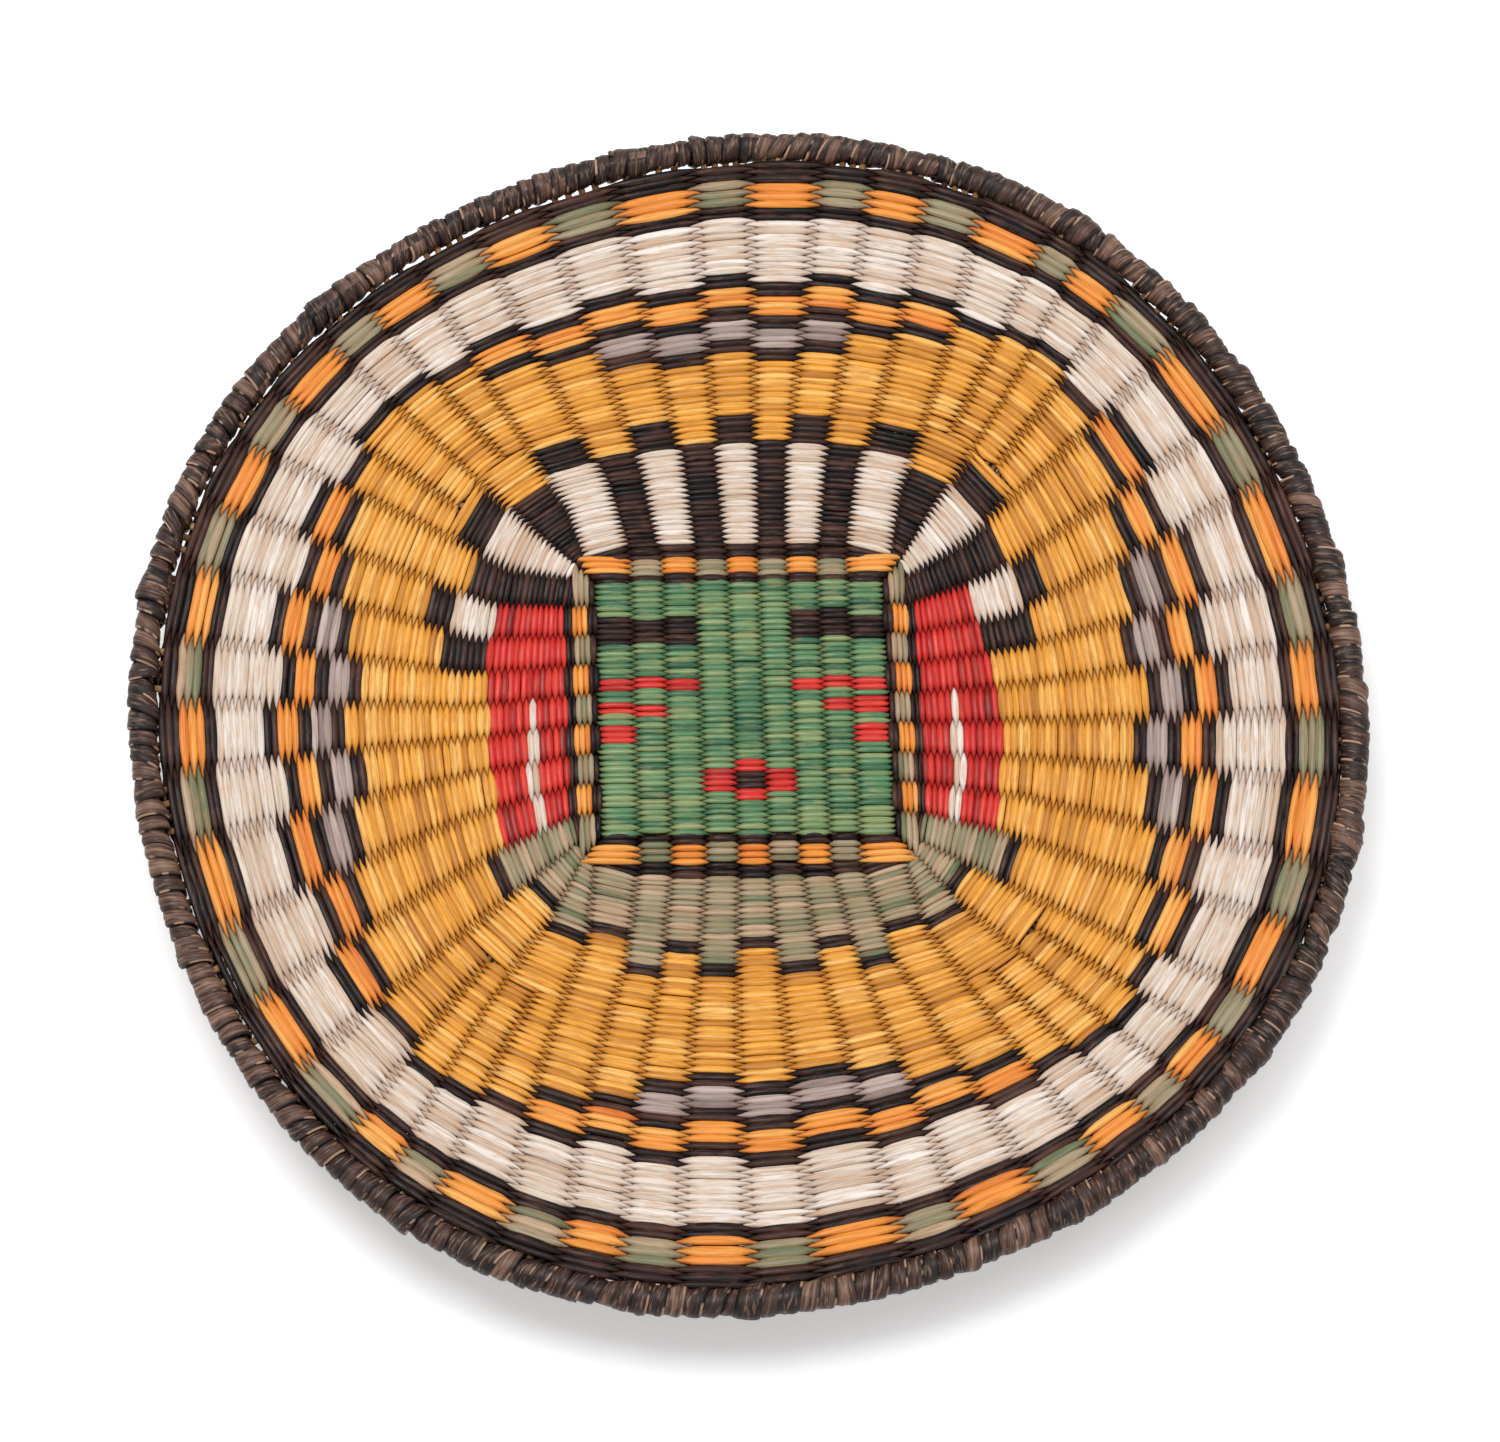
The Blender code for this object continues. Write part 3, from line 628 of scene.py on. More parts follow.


# Looks of the dyed twigs: low and high tone, bare twig and its share, roughness, depth of the painted shade
# in the creases and gloss
LOOKS = {
    "dark": ("#090505", "#4a2e27", "#7a5040", 0.25, 0.28, 0.9, 0.14),
    "ochre": ("#bf7a22", "#fac268", "#c87c2c", 0.50, 0.36, 0.95, 0.32),
    "orange": ("#ea8230", "#fdb75c", "#dc9440", 0.35, 0.40, 0.95, 0.30),
    "cream": ("#d4b9a2", "#faf0e8", "#d6ab88", 0.50, 0.60, 0.62, 0.20),
    "sage": ("#6a7352", "#c6a88a", "#a8825e", 0.45, 0.42, 1.0, 0.28),
    "plum": ("#8a7672", "#cdb8b0", "#a9907c", 0.35, 0.48, 0.9, 0.28),
    "red": ("#861210", "#e03a2c", "#f0a08a", 0.07, 0.34, 1.0, 0.28),
    "green": ("#1b523a", "#93a36b", "#9c9860", 0.42, 0.32, 1.0, 0.36),
}


def weft_materials(dyes):
    """The dyed twigs, in the order of DYES."""
    made = []
    for dye in DYES:
        name = f"rabbitbrush_twig_dyed_{dye}"
        if dye == "cream":
            name = "rabbitbrush_twig_rubbed_with_white_clay"
        made.append(bpy.data.materials.get(name) or dyed_twig(name, getattr(dyes, dye), *LOOKS[dye]))
    return made


def leaf_material(tint):
    """Yucca leaf, split and dried dark: flat dull strips with parallel veins and scuffed pale edges."""
    material, shader = new_material("yucca_leaf_strip_dried")
    place = add_node(material, "ShaderNodeAttribute", {"attribute_name": "twig"}).outputs["Vector"]
    shade = add_node(material, "ShaderNodeAttribute", {"attribute_name": "shade"}).outputs["Fac"]
    crease = add_node(material, "ShaderNodeAttribute", {"attribute_name": "crease"}).outputs["Fac"]
    tone = add_node(material, "ShaderNodeValToRGB", (), {"Fac": shade})
    set_ramp(tone, ((0.0, toned(tint, 0.3)), (0.55, toned(tint, 1.0)), (1.0, solid("#92705e"))))
    # Veins and creases 0.9 mm apart along the strip
    vein_place = add_node(material, "ShaderNodeVectorMath", {"operation": "MULTIPLY"},
                          {0: place, 1: (60, 1100, 1100)}).outputs[0]
    veins = add_node(material, "ShaderNodeTexNoise", (),
                     {"Vector": vein_place, "Scale": 1.0, "Detail": 3.0, "Roughness": 0.65}).outputs["Fac"]
    dent = add_node(material, "ShaderNodeMapRange", (),
                    {"Value": veins, "From Min": 0.40, "From Max": 0.60}).outputs[0]
    veined = add_node(material, "ShaderNodeMix", {"data_type": "RGBA", "blend_type": "MULTIPLY"},
                      {"Factor": dent, 6: tone.outputs["Color"], 7: (0.20, 0.17, 0.17, 1.0)}).outputs[2]
    # Scuffs 0.7 mm wide and some 5 mm long
    scuff_place = add_node(material, "ShaderNodeVectorMath", {"operation": "MULTIPLY"},
                           {0: place, 1: (220, 1400, 1400)}).outputs[0]
    scuffs = add_node(material, "ShaderNodeTexNoise", (),
                      {"Vector": scuff_place, "Scale": 1.0, "Detail": 2.0}).outputs["Fac"]
    worn = add_node(material, "ShaderNodeMapRange", (),
                    {"Value": scuffs, "From Min": 0.54, "From Max": 0.66, "To Max": 0.5}).outputs[0]
    scuffed = add_node(material, "ShaderNodeMix", {"data_type": "RGBA"},
                       {"Factor": worn, 6: veined, 7: solid("#a8866e")}).outputs[2]
    # Painted shade at both edges of each turn, where the laps meet
    coloured = add_node(material, "ShaderNodeMix", {"data_type": "RGBA", "blend_type": "MULTIPLY"},
                        {"Factor": crease, 6: scuffed, 7: solid("#33211a")}).outputs[2]
    # The raw pale edge of the upper lap, some 6 mm long at a time. It is drawn 0.6 mm wide, wider than the
    # real one, so that it shows
    lap = add_node(material, "ShaderNodeSeparateXYZ", (), {"Vector": place}).outputs["Y"]
    edge = add_node(material, "ShaderNodeMapRange", (),
                    {"Value": lap, "From Min": 0.0053, "From Max": 0.0056}).outputs[0]
    along = add_node(material, "ShaderNodeVectorMath", {"operation": "MULTIPLY"},
                     {0: place, 1: (160, 0, 900)}).outputs[0]
    patches = add_node(material, "ShaderNodeTexNoise", (),
                       {"Vector": along, "Scale": 1.0, "Detail": 1.0}).outputs["Fac"]
    raw = add_node(material, "ShaderNodeMapRange", (),
                   {"Value": patches, "From Min": 0.525, "From Max": 0.585}).outputs[0]
    bared = add_node(material, "ShaderNodeMath", {"operation": "MULTIPLY"}, {0: edge, 1: raw}).outputs[0]
    edged = add_node(material, "ShaderNodeMix", {"data_type": "RGBA"},
                     {"Factor": bared, 6: coloured, 7: solid("#bd9880")}).outputs[2]
    give_surface(material, shader, edged, veins, (0.34, 0.60), 0.9, 0.0005)
    shader.inputs["Specular IOR Level"].default_value = 0.3
    return material


def rod_material(tint):
    """Wild currant rod, peeled: smooth wood browned by age, with darker streaks along it. Its tint is also
    set darker than the aged wood, as painted shade where the rods show deep between the floats.
    """
    return dyed_twig("currant_rod_peeled", tint, "#3c281a", "#c8a070", "#4a3222", 0.6, 0.5, 0.0, 0.25)


def core_material(tint):
    """Peeled rods of the rim's core, which show only between the turns of leaf."""
    material, shader = new_material("currant_rods_of_the_rim_peeled")
    place = add_node(material, "ShaderNodeTexCoord").outputs["Object"]
    # Grain patches 4 mm across
    grain = add_node(material, "ShaderNodeTexNoise", (),
                     {"Vector": place, "Scale": 250.0, "Detail": 4.0}).outputs["Fac"]
    tone = add_node(material, "ShaderNodeValToRGB", (), {"Fac": grain})
    set_ramp(tone, ((0.3, toned(tint, 0.45)), (0.7, toned(tint, 0.9))))
    material.node_tree.links.new(tone.outputs["Color"], shader.inputs["Base Color"])
    shader.inputs["Roughness"].default_value = 0.6
    return material


def seen_ray(owner):
    """1 for the rays that show a thing, straight, through glass or in a gloss, and 0 for those of light."""
    rays = add_node(owner, "ShaderNodeLightPath").outputs
    seen = rays["Is Camera Ray"]
    for kind in ("Is Transmission Ray", "Is Glossy Ray"):
        either = add_node(owner, "ShaderNodeMath", {"operation": "MAXIMUM"}, {0: seen, 1: rays[kind]})
        seen = either.outputs[0]
    return seen


def floor_material(tint):
    """Matt white paper: it keeps the plaque's shadow, and is lifted to white where it is seen."""
    material, shader = new_material("white_paper_matt")
    nodes, links = material.node_tree.nodes, material.node_tree.links
    place = add_node(material, "ShaderNodeTexCoord").outputs["Object"]
    # Paper tooth 2 mm across
    tooth = add_node(material, "ShaderNodeTexNoise", (),
                     {"Vector": place, "Scale": 500.0, "Detail": 2.0}).outputs["Fac"]
    dullness = add_node(material, "ShaderNodeMapRange", (),
                        {"Value": tooth, "To Min": 0.93, "To Max": 0.97}).outputs[0]
    links.new(dullness, shader.inputs["Roughness"])
    shader.inputs["Base Color"].default_value = (*tint, 1.0)
    shader.inputs["Specular IOR Level"].default_value = 0.1
    dark, lift = (add_node(material, "ShaderNodeEmission", (), {"Color": (level, level, level, 1.0)})
                  for level in (0.0, 0.34))
    lifted_for_view = add_node(material, "ShaderNodeMixShader", (),
                               {0: seen_ray(material), 1: dark.outputs[0], 2: lift.outputs[0]})
    both = add_node(material, "ShaderNodeAddShader", (),
                    {0: shader.outputs[0], 1: lifted_for_view.outputs[0]})
    links.new(both.outputs[0], nodes["Material Output"].inputs["Surface"])
    return material


# Meshes and objects


def mesh_from(shape, name):
    """The mesh of a finished shape."""
    mesh = bpy.data.meshes.new(name)
    shape.to_mesh(mesh)
    shape.free()
    return mesh


def add_grid(shape, steps, columns):
    """Add a grid to a shape, and give the step and the column of each of its corners."""
    corners = bmesh.ops.create_grid(shape, x_segments=steps, y_segments=columns, size=1)["verts"]
    return {corner: (round((corner.co.x + 1) / 2 * steps), round((corner.co.y + 1) / 2 * columns))
            for corner in corners}


def add_object(name, data):
    """An object at the origin, linked to the scene."""
    item = bpy.data.objects.new(name, data)
    bpy.context.scene.collection.objects.link(item)
    return item


def add_piece(name, mesh, materials, node):
    """Put a finished mesh in the scene as a piece that stands for a CAD node."""
    for material in materials:
        mesh.materials.append(material)
    piece = add_object(name, mesh)
    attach(piece, "root")
    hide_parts(node)
    return piece


# Woven strands


def unit_ring(columns):
    """A closed tube of one strand round the origin, with the column and section of each corner."""
    ring = bmesh.new()
    upright = Matrix.Translation((1, 0, 0)) @ Matrix.Rotation(math.pi / 2, 4, "X")
    bmesh.ops.create_circle(ring, cap_ends=False, segments=SECTION, radius=0.3, matrix=upright)
    bmesh.ops.spin(ring, geom=ring.verts[:] + ring.edges[:], cent=(0, 0, 0), axis=(0, 0, 1),
                   angle=2 * math.pi, steps=columns, use_merge=True)
    bmesh.ops.recalc_face_normals(ring, faces=ring.faces)
    mesh = mesh_from(ring, "one_strand")
    places = np.empty(len(mesh.vertices) * 3)
    mesh.vertices.foreach_get("co", places)
    x, y, z = places.reshape(-1, 3).T
    column = np.round(np.arctan2(y, x) / (2 * math.pi) * columns).astype(int) % columns
    section = np.round(np.arctan2(z, np.hypot(x, y) - 1) / (2 * math.pi) * SECTION).astype(int) % SECTION
    return mesh, column, section


def first_of(numbers, count):
    """The lower number of each face's corners, on a circle of count numbers."""
    low, high = numbers.min(axis=1), numbers.max(axis=1)
    return np.where(high - low > 1, count - 1, low)


def squared(wave):
    """A sine or cosine pulled towards a squarer section."""
    return np.sign(wave) * np.abs(wave) ** SECTION_POWER


def set_attribute(mesh, name, kind, domain, values):
    """Give a mesh an attribute with its values."""
    field = "vector" if kind == "FLOAT_VECTOR" else "value"
    mesh.attributes.new(name, kind, domain).data.foreach_set(field, np.ravel(values))


def woven_mesh(name, centres, outward, half_width, half_thick, swing, dyes, shades, blocks=1, seams=0.0):
    """Closed strands along rows of centres, with their dyes, shades and a map for each strand.

    The swing is 1 over a rib and -1 under one. The attribute of painted shade is 0 on the outside of a
    float, and 1 where strands touch each other or the rods: shade is painted in there. Seams are columns
    that gape.
    """
    strands, columns = centres.shape[:2]
    ring, ring_column, ring_section = unit_ring(columns)
    shape = bmesh.new()
    for _ in range(strands):
        shape.from_mesh(ring)
    mesh = mesh_from(shape, name)

    along = unit(np.roll(centres, -1, axis=1) - np.roll(centres, 1, axis=1))
    across = flattened(outward, along)
    up = np.cross(across, along)
    spot = np.repeat(np.arange(strands), len(ring_column)), np.tile(ring_column, strands)
    turn = 2 * np.pi * np.tile(ring_section, strands) / SECTION
    sideways = half_width[spot] * squared(np.cos(turn))
    upwards = half_thick[spot] * squared(np.sin(turn))
    places = centres[spot] + across[spot] * sideways[:, None] + up[spot] * upwards[:, None]
    mesh.vertices.foreach_set("co", places.ravel())

    corners = np.empty(len(ring.loops), dtype=np.int32)
    ring.loops.foreach_get("vertex_index", corners)
    corners = corners.reshape(-1, 4)
    bpy.data.meshes.remove(ring)
    face_column = first_of(ring_column[corners], columns)
    face_section = first_of(ring_section[corners], SECTION)
    column_step = (ring_column[corners] - face_column[:, None]) % columns
    section_step = (ring_section[corners] - face_section[:, None]) % SECTION

    faces = len(face_column)
    strand_of_face = np.repeat(np.arange(strands), faces)
    column_of_face = np.tile(face_column, strands)
    dye = dyes[strand_of_face, column_of_face].astype(np.int32)
    mesh.polygons.foreach_set("material_index", dye)
    mesh.polygons.foreach_set("use_smooth", np.ones(faces * strands, dtype=bool))
    set_attribute(mesh, "shade", "FLOAT", "FACE", shades[strand_of_face, column_of_face])

    # Each strand has a stretch of its own in the noise, which the twig attribute gives places in
    step_lengths = np.linalg.norm(np.roll(centres, -1, axis=1) - centres, axis=2)
    reach = np.concatenate((np.zeros((strands, 1)), np.cumsum(step_lengths, axis=1)), axis=1)
    strand = np.repeat(strand_of_face, 4)
    column = np.tile((face_column[:, None] + column_step).ravel(), strands)
    section = np.tile((face_section[:, None] + section_step).ravel(), strands)
    width, height = np.cos(2 * np.pi * section / SECTION), np.sin(2 * np.pi * section / SECTION)
    spot = strand, column % columns
    offset = np.random.default_rng(7).random(strands) * NOISE_REACH
    twig = np.stack((reach[strand, column] + offset[strand],
                     half_width[spot] * width + strand * NOISE_STEP,
                     half_thick[spot] * height), axis=1)
    set_attribute(mesh, "twig", "FLOAT_VECTOR", "CORNER", twig)

    # Painted shade: darker on a float's flanks, where it dives under its neighbours, and in the valleys by
    # the lines between ribs
    facing_up = (swing * np.sign(up[..., 2]))[spot]
    side = np.abs(width) ** 4 * (1 - 0.65 * np.clip(facing_up, 0, 1))
    inward = np.clip(-3 * (facing_up * height + 0.2), 0, 1)
    seam = np.broadcast_to(seams, swing.shape)[spot]
    valley = (1 - np.abs(facing_up)) ** (2 - 0.9 * seam) * (0.25 + 0.75 * np.abs(width))
    set_attribute(mesh, "crease", "FLOAT", "CORNER", 1 - (1 - side) * (1 - inward) * (1 - valley))

    # Each strand has rows of its own on the map, and its under side shares the upper side's place
    block_columns = columns // blocks
    block = np.minimum(np.tile(np.repeat(face_column, 4), strands) // block_columns, blocks - 1)
    row = strand * blocks + block
    fold = 1 - np.abs(section / (SECTION / 2) - 1)
    chart = np.stack(((column - block * block_columns) / block_columns * 0.996 + 0.002,
                      (row + 0.06 + 0.88 * fold) / (strands * blocks)), axis=1)
    mesh.uv_layers.new(name="OFBake").data.foreach_set("uv", chart.astype(np.float32).ravel())
    mesh.update()
    return mesh


def float_tables(numbers, cells, dye_of, random):
    """Over and under, dye and shade of every column of closed strands.

    A strand goes over a cell where the sum of its number and the cell's is even. Under a cell its two
    halves keep the dye of the floats beside it, because a new twig is let in at the back.
    """
    strands = len(numbers)
    cell = np.arange(cells)
    over = (cell + np.asarray(numbers)[:, None]) % 2 == 0
    dye = np.array([[dye_of(strand, number) for number in range(cells)] for strand in range(strands)])
    twigs = np.repeat(random.random((strands, cells // TWIG_CELLS + 1)), TWIG_CELLS, axis=1)[:, :cells]
    floats = random.random((strands, cells))
    shade = np.clip(0.5 + TWIG_TONES * (twigs - 0.5) + FLOAT_TONES * (floats - 0.5), 0, 1)
    column_cell = np.repeat(cell, CELL_STEPS)
    beside = (column_cell + np.where(np.tile(FIRST_HALF, cells), -1, 1)) % cells
    column_over = over[:, column_cell]
    source = np.where(column_over, column_cell, beside)
    rows = np.arange(strands)[:, None]
    return column_over, dye[rows, source], shade[rows, source]


def across_cells(bounds):
    """Points at every column, straight across each cell between its two bounds."""
    first = np.repeat(bounds[..., :-1, :], CELL_STEPS, axis=-2)
    last = np.repeat(bounds[..., 1:, :], CELL_STEPS, axis=-2)
    return first + (last - first) * np.tile(CELL_PLACES, bounds.shape[-2] - 1)[:, None]


def cell_crown(cells):
    """How near each column is to the middle of its cell: 1 on a rib and 0 on a line between ribs."""
    return np.abs(np.cos(np.pi * (np.tile(CELL_PLACES, cells) - 0.5)))[None, :]


def height_share(signed):
    """Height of a strand's middle as a share of its full swing, from its signed crown."""
    return np.interp(signed, PATH_CROWNS, PATH_HEIGHTS)


def width_share(weave, signed):
    """Width of a strand as a share of its pitch, from its signed crown."""
    return weave.strand_width * np.interp(signed, PATH_CROWNS, PATH_WIDTHS)


def unevenness(random, strands, crown, amount):
    """A function that draws smooth unevenness: a number for each float, which fades out on the lines."""
    cells = crown.shape[1] // CELL_STEPS

    def draw(spread):
        """Numbers of the wanted spread, none more than twice as far out."""
        numbers = random.normal(0, 1, (strands, cells)).clip(-2, 2)
        return np.repeat(numbers, CELL_STEPS, axis=1) * crown * (spread * amount)

    return draw


def add_round_weave(name, numbers, forked, weave, materials, node):
    """Rounds of weft outside the border, in half floats, over 44 ribs or over all 52."""
    lines = np.array([line for line in range(RIBS + 1)
                      if forked or line % RIBS_PER_SIDE not in FORK_LINES])
    cells = len(lines) - 1
    numbers = np.array(numbers)
    random = np.random.default_rng(110 + int(numbers[0]))
    ribs = (lines[:-1] - RIGHT_CENTRE_RIB) % RIBS
    before, middle, after = (lifted(across_cells(weave_points((numbers + half_floats) / 2, lines)))
                             for half_floats in (-1, 0, 1))
    radius = np.hypot(middle[..., 0], middle[..., 1])[..., None]
    slope = dish_slope(radius)
    heading = middle[..., :2] / radius
    normal = unit(np.concatenate((-heading * slope, np.ones_like(slope)), axis=-1))
    along = unit(np.roll(middle, -1, axis=1) - np.roll(middle, 1, axis=1))
    outward = flattened(unit(np.concatenate((heading, slope), axis=-1)), along)
    pitch = np.abs(np.sum((after - before) * outward, axis=-1))

    crown = cell_crown(cells)
    over, dyes, shades = float_tables(numbers, cells, lambda strand, cell: weave_dye(
        ribs[cell], numbers[strand] / 2), random)
    signed = crown * np.where(over, 1, -1)
    uneven = unevenness(random, len(numbers), crown, weave.unevenness)
    swing = weave.strand_swing * height_share(signed) + uneven(HEIGHT_SPREAD)
    sideways = uneven(SIDE_SPREAD)
    # The lines that start at the forks gape at first, because their rods draw apart there
    at_fork = np.isin(lines % RIBS_PER_SIDE, FORK_LINES)
    gaping = np.where(np.tile(FIRST_HALF, cells), *(np.repeat(part, CELL_STEPS)
                                                    for part in (at_fork[:-1], at_fork[1:])))
    seams = gaping * np.clip((SEAM_END - radius[..., 0]) / (SEAM_END - FORK_RADIUS), 0, 1)
    narrowed = GAP_NARROWS * seams * crown * (1 - crown) * over
    # The arms beside a corner's middle are out of step with their trunk, so that their first floats
    # are drawn in or pushed out by up to a quarter float, to close up on the trunk's last one
    out_of_step = np.isin(lines[:-1] % RIBS_PER_SIDE, INNER_ARMS) & forked
    late = numbers[:, None] - FORK_NUMBER
    push = np.where(late % 2, -1, 1) * np.clip(1 - (late - 1) / PUSHED_STRANDS, 0, 1)
    push = push * np.repeat(out_of_step, CELL_STEPS) * crown
    # The first strands that cross a fork's line are wider there, and cover its start. The hidden passes
    # just before and after the forks are wider too, and close the weave behind the floats.
    covering = CROSSING_WIDENS * gaping * (1 - crown) * np.clip(1 - late / WIDE_CROSSINGS, 0, 1)
    backing = PASS_WIDENS * crown * ~over * np.clip(1.25 - abs(late + 0.5) / 2, 0, 1)
    wide = width_share(weave, signed) * (1 - narrowed) * (1 - PUSH_NARROWS * push)
    wide = wide * (1 + covering) * (1 + backing)
    sideways = (sideways + PUSH * push) * pitch
    centres = middle + normal * swing[..., None] + outward * sideways[..., None]
    half_width = pitch / 2 * wide * (1 + uneven(ROUND_WIDTH_SPREAD))
    half_thick = weave.strand_thickness / 2 * (1 + uneven(THICKNESS_SPREAD))
    mesh = woven_mesh(name, centres, outward, half_width, half_thick, signed, dyes, shades, seams=seams)
    add_piece(name, mesh, materials, node)


def add_mat_weave(name, lines, height, level, turned, dye_of, weave, materials, node):
    """The weft of one mat: each strand goes out over and under the bundles and comes back beside."""
    loops = round(height / weave.mat_float_pitch)
    row_pitch = height / loops / 2
    cells = len(lines) - 1
    random = np.random.default_rng(31 + loops)
    out = np.append((lines[:-1, None] + np.diff(lines)[:, None] * CELL_PLACES).ravel(), lines[-1])
    x = np.concatenate((out[:-1], out[:0:-1]))
    column = np.arange(len(x))
    back = column >= len(x) // 2
    way = back.astype(int)
    cell = np.where(back, 2 * cells - 1 - column // CELL_STEPS, column // CELL_STEPS)
    # At the turns the strand is midway between its two rows
    row = np.where(np.isclose(np.abs(x), lines[-1]), 0.0, way - 0.5)
    loop = np.arange(loops)[:, None]
    y = (row + 2 * loop + 1) * row_pitch - height / 2
    # Under a bundle the strand's two halves keep the dye and the tone of the floats beside it
    over = (cell + way) % 2 == 0
    beside = np.clip(cell + np.where(np.tile(FIRST_HALF, 2 * cells) == back, 1, -1), 0, cells - 1)
    seen = np.where(over, cell, beside)
    down = 1 - (2 * loop + 0.5 + way) / (2 * loops)
    dyes = np.array([[dye_of(*place) for place in zip(seen, places_down)] for places_down in down])
    whole_twigs = cells // MAT_TWIG_CELLS
    twigs = np.clip(0.5 + MAT_TWIG_TONES * (random.random((loops, 2, whole_twigs)) - 0.5), 0, 1)
    floats = random.random((loops, 2, cells))
    twig = np.minimum(seen // MAT_TWIG_CELLS, whole_twigs - 1)
    shades = MAT_TWIG_PART * twigs[:, way, twig] + MAT_FLOAT_PART * floats[:, way, seen]
    crown = cell_crown(2 * cells)
    signed = np.broadcast_to(crown * np.where(over, 1, -1), y.shape)
    uneven = unevenness(random, loops, crown, weave.unevenness)
    z = level + weave.mat_strand_swing * height_share(signed) + uneven(MAT_SPREAD)
    y = y + uneven(MAT_SPREAD)
    x = np.broadcast_to(x, y.shape)
    plan = mat_points(-y, x) if turned else mat_points(x, y)
    turn = math.radians(ROW_TURN + 90 * turned)
    half_width = row_pitch * width_share(weave, signed) * (1 + uneven(WIDTH_SPREAD))
    half_thick = weave.mat_strand_thickness / 2 * (1 + uneven(THICKNESS_SPREAD))
    centres = np.concatenate((plan, np.maximum(z, half_thick)[..., None]), axis=-1)
    outward = np.broadcast_to(np.array((math.sin(turn), -math.cos(turn), 0.0)), centres.shape)
    mesh = woven_mesh(name, centres, outward, half_width, half_thick, signed, dyes, shades, blocks=2)
    add_piece(name, mesh, materials, node)


def border_dye(strand, cell):
    """Dye of a float of the border: a dark inner round, then blocks of three floats."""
    if strand < BORDER_DARK_STRANDS:
        return DARK
    side, step = divmod(cell, STRAIGHT_RIBS)
    rib = (side * RIBS_PER_SIDE + step - RIGHT_CENTRE_RIB) % RIBS
    return ORANGE if rib % 2 else SAGE


def add_border_weave(name, weave, materials, node):
    """The square rounds that frame the mats, over and under the bundles of both."""
    strands = len(BORDER_SHARES)
    cells = SIDES * STRAIGHT_RIBS
    random = np.random.default_rng(57)
    rounds = []
    for share_out in BORDER_SHARES:
        far_x, far_y = border_halves(share_out)
        bounds = []
        for side, corner in enumerate((-far_y, far_x, far_y, -far_x)):
            bounds += [side_point(side, line, far_x, far_y) for line in (corner, *SIDE_LINES[side][1:-1])]
        rounds.append(across_cells(np.array(bounds + bounds[:1])))
    plan = mat_points(*np.moveaxis(np.array(rounds), -1, 0))
    heading = unit(np.roll(plan, -1, axis=1) - np.roll(plan, 1, axis=1))
    outward = np.stack((heading[..., 1], -heading[..., 0], np.zeros(heading.shape[:2])), axis=-1)
    over, dyes, shades = float_tables(np.arange(-1, strands - 1), cells, border_dye, random)
    crown = cell_crown(cells)
    signed = crown * np.where(over, 1, -1)
    uneven = unevenness(random, strands, crown, weave.unevenness)
    # The outer rounds go over one bundle at a time and swing less, but for the corners
    place = np.repeat(np.arange(cells) % STRAIGHT_RIBS, CELL_STEPS) + np.tile(CELL_PLACES, cells)
    inside = np.clip(np.minimum(place, STRAIGHT_RIBS - place), 0, 1)
    fall = np.interp(BORDER_SHARES, *BORDER_FALL)[:, None] * inside
    swing = (BORDER_CROWN - weave.strand_thickness / 2) * (1 - fall) * height_share(signed)
    z = FIELD_LEVEL + swing + uneven(MAT_SPREAD)
    centres = np.concatenate((plan, z[..., None]), axis=-1)
    on_end = np.repeat(np.arange(cells) // STRAIGHT_RIBS % 2, CELL_STEPS)
    pitch = np.where(on_end, BORDER_HALF_Y - FACE_HALF_Y, BORDER_HALF_X - FACE_HALF_X) / strands * 2
    half_width = pitch / 2 * width_share(weave, signed) * (1 + uneven(WIDTH_SPREAD))
    half_thick = np.full(half_width.shape, weave.strand_thickness / 2)
    mesh = woven_mesh(name, centres, outward, half_width, half_thick, signed, dyes, shades)
    add_piece(name, mesh, materials, node)


# Rods and rim


def rib_pair(first_line, last_line, radius):
    """Left and right edge of a rib bundle between two lines at a radius."""
    first, last = line_points(np.full((1, 2), radius), np.array([first_line, last_line]))[0]
    middle = (first + last) / 2
    reach = (last - first) * ROD_SPREAD / 2
    return lifted(np.array((middle - reach, middle + reach)))


def rib_end(rib):
    """Where a rib's rods end, just inside the rim's wrapping."""
    degrees = (LINE_FAR[rib] + LINE_FAR[rib + 1]) / 2
    return rim_radius(degrees) - RIM_THICKNESS + ROD_END_DEPTH


def mat_half(side, step, level):
    """Edge pairs of half a mat bundle, from just inside the mat's edge out to the rim."""
    side %= SIDES
    rib = side * RIBS_PER_SIDE + step
    low, high = FACE_SIDE_LINES[side][step:step + 2]
    middle, half = (low + high) / 2, (high - low) * ROD_SPREAD / 2
    ends = [mat_points(*side_point(side, across, MAT_WIDTH / 2 - 0.001, MAT_HEIGHT / 2 - 0.001))
            for across in (middle - half, middle + half)]
    first, last = LINE_STARTS[rib], LINE_STARTS[rib + 1]
    centre, reach = (first + last) / 2, (last - first) * ROD_SPREAD / 2
    pairs = [np.array([(*end, level) for end in ends]), lifted(np.array((centre - reach, centre + reach)))]
    return pairs + [rib_pair(rib, rib + 1, radius) for radius in (*ROD_RADII, rib_end(rib))]


def bundle_paths(pairs, rods):
    """Paths of rods side by side between the left and the right edge of a bundle."""
    left, right = np.array(pairs).transpose(1, 0, 2)
    return [left + (right - left) * ((rod + 0.5) / rods) for rod in range(rods)]


def smooth_path(points, steps):
    """Points evenly spread along a run of points."""
    lengths = np.concatenate(([0], np.cumsum(np.linalg.norm(np.diff(points, axis=0), axis=1))))
    wanted = np.linspace(0, lengths[-1], steps + 1)
    return np.stack([np.interp(wanted, lengths, points[:, axis]) for axis in range(3)], axis=1)


